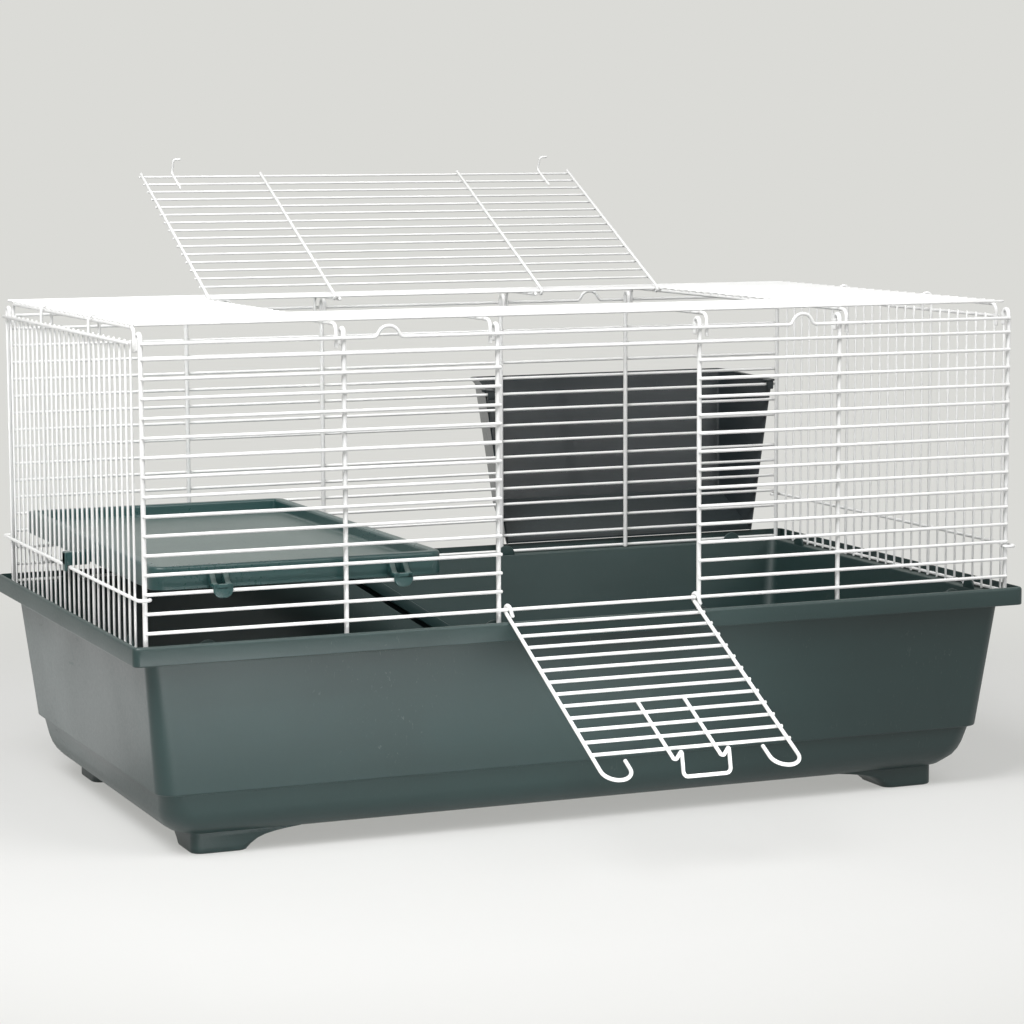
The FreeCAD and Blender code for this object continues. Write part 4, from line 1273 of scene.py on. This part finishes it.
@dataclass
class Ramp:
    """The ramp: a board with side curbs, cleats and a hinge pin."""

    finish: bpy.types.Material
    length: float = 0.440
    width: float = 0.080
    board: float = 0.003
    start: float = 0.0103
    curb: float = 0.013
    curb_wall: float = 0.0025
    cleat: float = 0.0025
    cleat_pitch: float = 0.028
    sink: float = 0.001
    pin: float = 0.003
    slope: float = math.radians(33.536)

    def build(self) -> None:
        """Build the ramp level from its pin, then drop it to the floor."""
        place = Matrix.Translation(hinge_place("ramp_hinge")) @ Matrix.Rotation(self.slope, 4, "Y")
        draft = Draft()
        board = self.length - self.start
        draft.block((board, self.width - self.sink, self.board),
                    place @ Matrix.Translation((self.start + board / 2, 0.0, -self.board / 2)),
                    corner=0.001, edge=0.0008)
        rail = self.length + self.pin
        for side in (-1, 1):
            y = side * (self.width - self.curb_wall) / 2
            draft.block((rail, self.curb_wall, self.curb),
                        place @ Matrix.Translation((self.length / 2 - self.pin / 2, y, -self.curb / 2)),
                        corner=0.0009, edge=0.001)
        count = int((self.length - self.cleat) / self.cleat_pitch)
        for row in range(1, count + 1):
            x = row * self.cleat_pitch + self.cleat / 2
            draft.block((self.cleat, self.width - 2 * self.sink, self.cleat + self.sink),
                        place @ Matrix.Translation((x, 0.0, self.board / 2 - self.sink)),
                        corner=0.0009, edge=0.0009)
        half = (self.width - self.curb_wall) / 2
        draft.tube([place @ Vector((0.0, -half, 0.0)), place @ Vector((0.0, half, 0.0))], self.pin)
        draft.piece("ramp_board", Body.RAMP, Slot.RAMP, self.finish, ["ramp"])


@dataclass
class HayRack:
    """The hay rack: a tapered hopper that hangs on the back panel, open to the cage and at the top."""

    finish: bpy.types.Material
    near_top: float = 0.386
    far_top: float = 0.336
    near_low: float = 0.331
    far_low: float = 0.304
    depth_top: float = 0.098
    depth_low: float = 0.062
    floor_rise: float = 0.040
    wall: float = 0.0025
    back_rise: float = 0.008
    lip: float = 0.004
    lip_thick: float = 0.0025
    soft: float = 0.0008
    floor_inset: float = 0.0006
    floor_lift: float = 0.0003
    corner: float = 0.006
    hook_width: float = 0.009
    hook_inset: float = 0.0015
    hook_y: tuple[float, float, float] = (0.2679, 0.2709, 0.2811)
    hook_z: tuple[float, float, float] = (0.4011, 0.4091, 0.4131)

    def build(self) -> None:
        """Build the hopper, its floor, its top bead and its hooks."""
        low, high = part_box("hay_rack")
        self.bottom, self.top = low.z, high.z - self.back_rise
        self.middle = (low.x + high.x) / 2
        self.front = high.y - self.depth_top - self.lip
        shell = Draft()
        shell.loft(self._wall_rings())
        shell.loft(self._floor_rings())
        shell.piece("hay_rack_hopper", Body.RACK, Slot.RACK, self.finish, ["hay_rack"])
        self._hooks().piece("hay_rack_hooks", Body.RACK, Slot.RACK, self.finish)

    def _columns(self, inset: float) -> list[Line]:
        """Upright lines of the hopper, low end and high end, from the left front round to the right front.

        Args:
            inset: How far inside the outer face.

        Returns:
            The lines.
        """
        lines = []
        for near, far, depth, z, rise in (
                (self.near_low, self.far_low, self.depth_low, self.bottom, 0.0),
                (self.near_top, self.far_top, self.depth_top, self.top, self.back_rise)):
            side, back = near / 2 - inset, far / 2 - inset
            edge, wall = self.front + self.soft, self.front + depth - inset
            corners = [(self.middle - side, edge, z), (self.middle - back, wall, z + rise),
                       (self.middle + back, wall, z + rise), (self.middle + side, edge, z)]
            lines.append(bent(corners, [self.corner - inset] * 2, 6))
        return list(zip(*lines))

    def _on_floor(self, line: Line, lift: float) -> Vector:
        """Where an upright line meets the sloping floor.

        Args:
            line: Low end and high end.
            lift: How far above the underside of the floor.

        Returns:
            The point on the slope.
        """
        low, high = line
        slope = self.floor_rise / self.depth_low
        gap = self.bottom + lift + slope * (low.y - self.front) - low.z
        return low + (high - low) * (gap / ((high.z - low.z) - slope * (high.y - low.y)))

    def _loop(self, outer: Path, inner: Path) -> Ring:
        """Close the wall's section with round front edges.

        Args:
            outer: Points on the outer face.
            inner: Points on the inner face.

        Returns:
            The closed section.
        """
        left, right = [(outer[end] + inner[end]) / 2 - Vector((0.0, self.soft, 0.0)) for end in (0, -1)]
        return outer + [right] + inner[::-1] + [left]

    def _wall_rings(self) -> list[Ring]:
        """Sections of the walls from the slope of the floor to the rounded top.

        Returns:
            The sections, from the bottom up.
        """
        outer, inner = self._columns(0.0), self._columns(self.wall)
        soft_outer, soft_inner = self._columns(self.soft - self.lip), self._columns(self.wall - self.soft)
        rim = self._columns(-self.lip)
        rings = []
        for share in (0.0, 0.25, 0.5, 0.75):
            rings.append(self._loop([self._between(line, share) for line in outer],
                                    [self._between(line, share) for line in inner]))
        for lines, drop in ((outer, self.lip_thick + self.soft), (soft_outer, self.lip_thick),
                            (rim, self.lip_thick - self.soft), (rim, self.soft)):
            down = Vector((0.0, 0.0, drop))
            rings.append(self._loop([line[1] - down for line in lines], [line[1] - down for line in inner]))
        rings.append(self._loop([line[1] for line in soft_outer], [line[1] for line in soft_inner]))
        return rings

    def _between(self, line: Line, share: float) -> Vector:
        """A point part of the way from the slope to the top."""
        start = self._on_floor(line, 0.0)
        return start + (line[1] - start) * share

    def _floor_rings(self) -> list[Ring]:
        """The sloping floor between the walls."""
        lines = self._columns(self.floor_inset)
        return [[self._on_floor(line, lift) for line in lines] for lift in (self.floor_lift, self.wall)]

    def _hooks(self) -> Draft:
        """Two hooks over a cross wire of the back panel.

        Returns:
            The drawing.
        """
        draft = Draft()
        tip, inner, wall = self.hook_y
        low, under, top = self.hook_z
        reach = self.near_top / 2 - self.hook_inset - self.hook_width / 2
        for x in (self.middle - reach, self.middle + reach):
            for end, base, edge in ((wall, under, 0.001), (inner, low, 0.0012)):
                draft.block((self.hook_width, end - tip, top - base),
                            Matrix.Translation((x, (tip + end) / 2, base)), 0.0012, edge)
        return draft


class Lamp(NamedTuple):
    """A soft flat lamp: its place, the point that it faces, its width and height, and its light."""

    name: str
    place: Point
    aim: Point
    size: tuple[float, float]
    watts: float
    spread: float = math.pi


@dataclass
class Studio:
    """Pale floor and surroundings, soft lamps and the camera."""

    floor_size: float = 400.0
    floor_white: float = 0.55
    floor_bounce: Colour = (0.46, 0.46, 0.46, 1.0)
    floor_seen: Colour = (0.9, 0.9, 0.9, 1.0)
    fleck: Colour = (0.8, 0.8, 0.8, 1.0)
    fleck_share: float = 0.1
    floor_fade: tuple[float, float] = (0.7, 1.5)
    camera_place: Point = (-1.2965, -3.1355, 0.7108)
    camera_yaw: float = math.radians(22.689)
    camera_pitch: float = math.radians(6.893)
    camera_roll: float = math.radians(-0.245)
    lens: float = 108.47
    sensor: float = 36.0
    dim_light: float = 0.1
    backdrop: Colour = linear(219, 219, 215)
    lamps: tuple[Lamp, ...] = (
        Lamp("left_lamp", (-1.6, -1.2, 2.4), (-0.1, 0.0, 0.25), (1.5, 1.5), 92.0),
        Lamp("right_lamp", (1.0, -2.4, 2.8), (0.1, 0.0, 0.25), (2.0, 2.0), 55.0),
        Lamp("sheen_lamp", (1.8, -3.3, 1.25), (0.25, 0.3, 0.36), (0.6, 0.6), 10.0),
        Lamp("front_card", (-0.2, -0.75, 0.01), (-0.2, -0.28, 0.09), (0.75, 0.15), 0.72, math.radians(44)),
        Lamp("side_card", (-0.68, 0.53, 0.005), (-0.68, 0.53, 1.0), (0.36, 0.9), 0.95),
    )

    def build(self) -> None:
        """Build the surroundings."""
        bpy.context.scene.view_settings.view_transform = "Standard"
        self._floor()
        self._world()
        for lamp in self.lamps:
            self._hang(lamp)
        self._camera()

    def _floor(self) -> None:
        """A wide pale floor that fades to the plain backdrop away from the cage."""
        half = self.floor_size / 2
        mesh = bpy.data.meshes.new("floor")
        corners = [(-half, -half, 0), (half, -half, 0), (half, half, 0), (-half, half, 0)]
        mesh.from_pydata(corners, [], [(0, 1, 2, 3)])
        shader = Shader(bpy.data.materials.new("pale_floor"))
        where = shader.node("ShaderNodeTexCoord", None, None, "Object")
        away = shader.node("ShaderNodeVectorMath", {"operation": "LENGTH"}, {0: where}, "Value")
        far = away.between(*self.floor_fade)
        specks = shader.noise(where, 30.0, 3.0) * self.fleck_share
        seen = self._shown(shader)
        colour = shader.mix(seen, self.floor_bounce, shader.mix(specks, self.floor_seen, self.fleck))
        matt = shader.node("ShaderNodeBsdfPrincipled", None, {"Base Color": colour, "Roughness": 0.8})
        plain = shader.node("ShaderNodeEmission", None, {"Color": self.backdrop, "Strength": 1.0})
        pale = self.floor_white + (1.0 - self.floor_white) * far
        surface = shader.node("ShaderNodeMixShader", None, {0: pale * seen, 1: matt, 2: plain})
        shader.node("ShaderNodeOutputMaterial", None, {"Surface": surface})
        mesh.materials.append(shader.owner)
        floor = bpy.data.objects.new("floor", mesh)
        bpy.context.scene.collection.objects.link(floor)

    def _shown(self, shader: Shader) -> Value:
        """Share of the plain background in what a ray meets: all of it for the camera, gloss and glass.

        Args:
            shader: Nodes of the floor or of the world.

        Returns:
            1 for rays that show the background and 0 for rays that light the cage.
        """
        camera, gloss, glass = [shader.node("ShaderNodeLightPath", None, None, f"Is {kind} Ray")
                                for kind in ("Camera", "Glossy", "Transmission")]
        return camera + gloss + glass

    def _world(self) -> None:
        """Pale surroundings for the camera and for gloss, with a dim level of light."""
        shader = Shader(bpy.data.worlds.new("white_room"))
        bpy.context.scene.world = shader.owner
        room = shader.node("ShaderNodeBackground", None,
                           {"Color": (1.0, 1.0, 1.0, 1.0), "Strength": self.dim_light})
        plain = shader.node("ShaderNodeBackground", None, {"Color": self.backdrop, "Strength": 1.0})
        surface = shader.node("ShaderNodeMixShader", None, {0: self._shown(shader), 1: room, 2: plain})
        shader.node("ShaderNodeOutputWorld", None, {"Surface": surface})

    def _hang(self, lamp: Lamp) -> None:
        """Hang one lamp, out of the camera's sight.

        Args:
            lamp: The lamp.
        """
        light = bpy.data.lights.new(lamp.name, "AREA")
        light.shape = "RECTANGLE"
        light.size, light.size_y = lamp.size
        light.energy = lamp.watts
        light.spread = lamp.spread
        item = bpy.data.objects.new(lamp.name, light)
        item.location = lamp.place
        item.rotation_euler = (Vector(lamp.aim) - Vector(lamp.place)).to_track_quat("-Z", "Y").to_euler()
        item.visible_camera = False
        bpy.context.scene.collection.objects.link(item)

    def _camera(self) -> None:
        """The camera at the photograph's place."""
        lens = bpy.data.cameras.new("camera")
        lens.lens = self.lens
        lens.sensor_width = self.sensor
        lens.clip_end = 200.0
        item = bpy.data.objects.new("camera", lens)
        yaw, roll = Matrix.Rotation(-self.camera_yaw, 4, "Z"), Matrix.Rotation(self.camera_roll, 4, "Z")
        tilt = Matrix.Rotation(math.pi / 2 - self.camera_pitch, 4, "X")
        item.matrix_world = Matrix.Translation(self.camera_place) @ yaw @ tilt @ roll
        bpy.context.scene.collection.objects.link(item)
        bpy.context.scene.camera = item


def main() -> None:
    """Build the cage and its surroundings in order."""
    logging.basicConfig(level=logging.INFO, format="%(message)s")
    tub_plastic = MouldedPlastic("grey_green_tub_plastic", linear(34, 55, 54), linear(29, 48, 47),
                                 linear(140, 147, 142), 0.56, 0.2, 0.25).material()
    shelf_plastic = MouldedPlastic("green_shelf_plastic", linear(42, 75, 74), linear(34, 64, 63),
                                   linear(146, 153, 148), 0.7, 0.4, 0.2, 0.293).material()
    ramp_plastic = MouldedPlastic("green_ramp_plastic", linear(32, 54, 54), linear(26, 46, 46),
                                  linear(124, 132, 127), 0.58, 0.35, 0.25).material()
    rack_plastic = MouldedPlastic("dark_rack_plastic", linear(38, 46, 49), linear(32, 39, 42),
                                  linear(96, 106, 105), 0.68, 0.15, 0.2).material()
    panel_white = CoatedWire("white_panel_coating", (0.91, 0.91, 0.9, 1.0), (0.84, 0.84, 0.82, 1.0),
                             0.68).material()
    door_white = CoatedWire("white_door_coating", (0.91, 0.91, 0.9, 1.0), (0.85, 0.85, 0.83, 1.0),
                            0.7).material()
    lid_white = CoatedWire("white_lid_coating", (0.9, 0.9, 0.89, 1.0), (0.83, 0.83, 0.81, 1.0),
                           0.66).material()
    Tub(tub_plastic).build()
    WireTop(panel_white, Body.WIRE_TOP, Slot.PANEL).build()
    FrontDoor(door_white, Body.DOOR, Slot.DOOR, "front_door_hinge", "door_rungs", (0.004, 0.0047)).build()
    RoofLid(lid_white, Body.LID, Slot.LID, "roof_lid_hinge", "lid_wires").build()
    Shelf(shelf_plastic).build()
    Ramp(ramp_plastic).build()
    HayRack(rack_plastic).build()
    Studio().build()


if __name__ == "__main__":
    main()
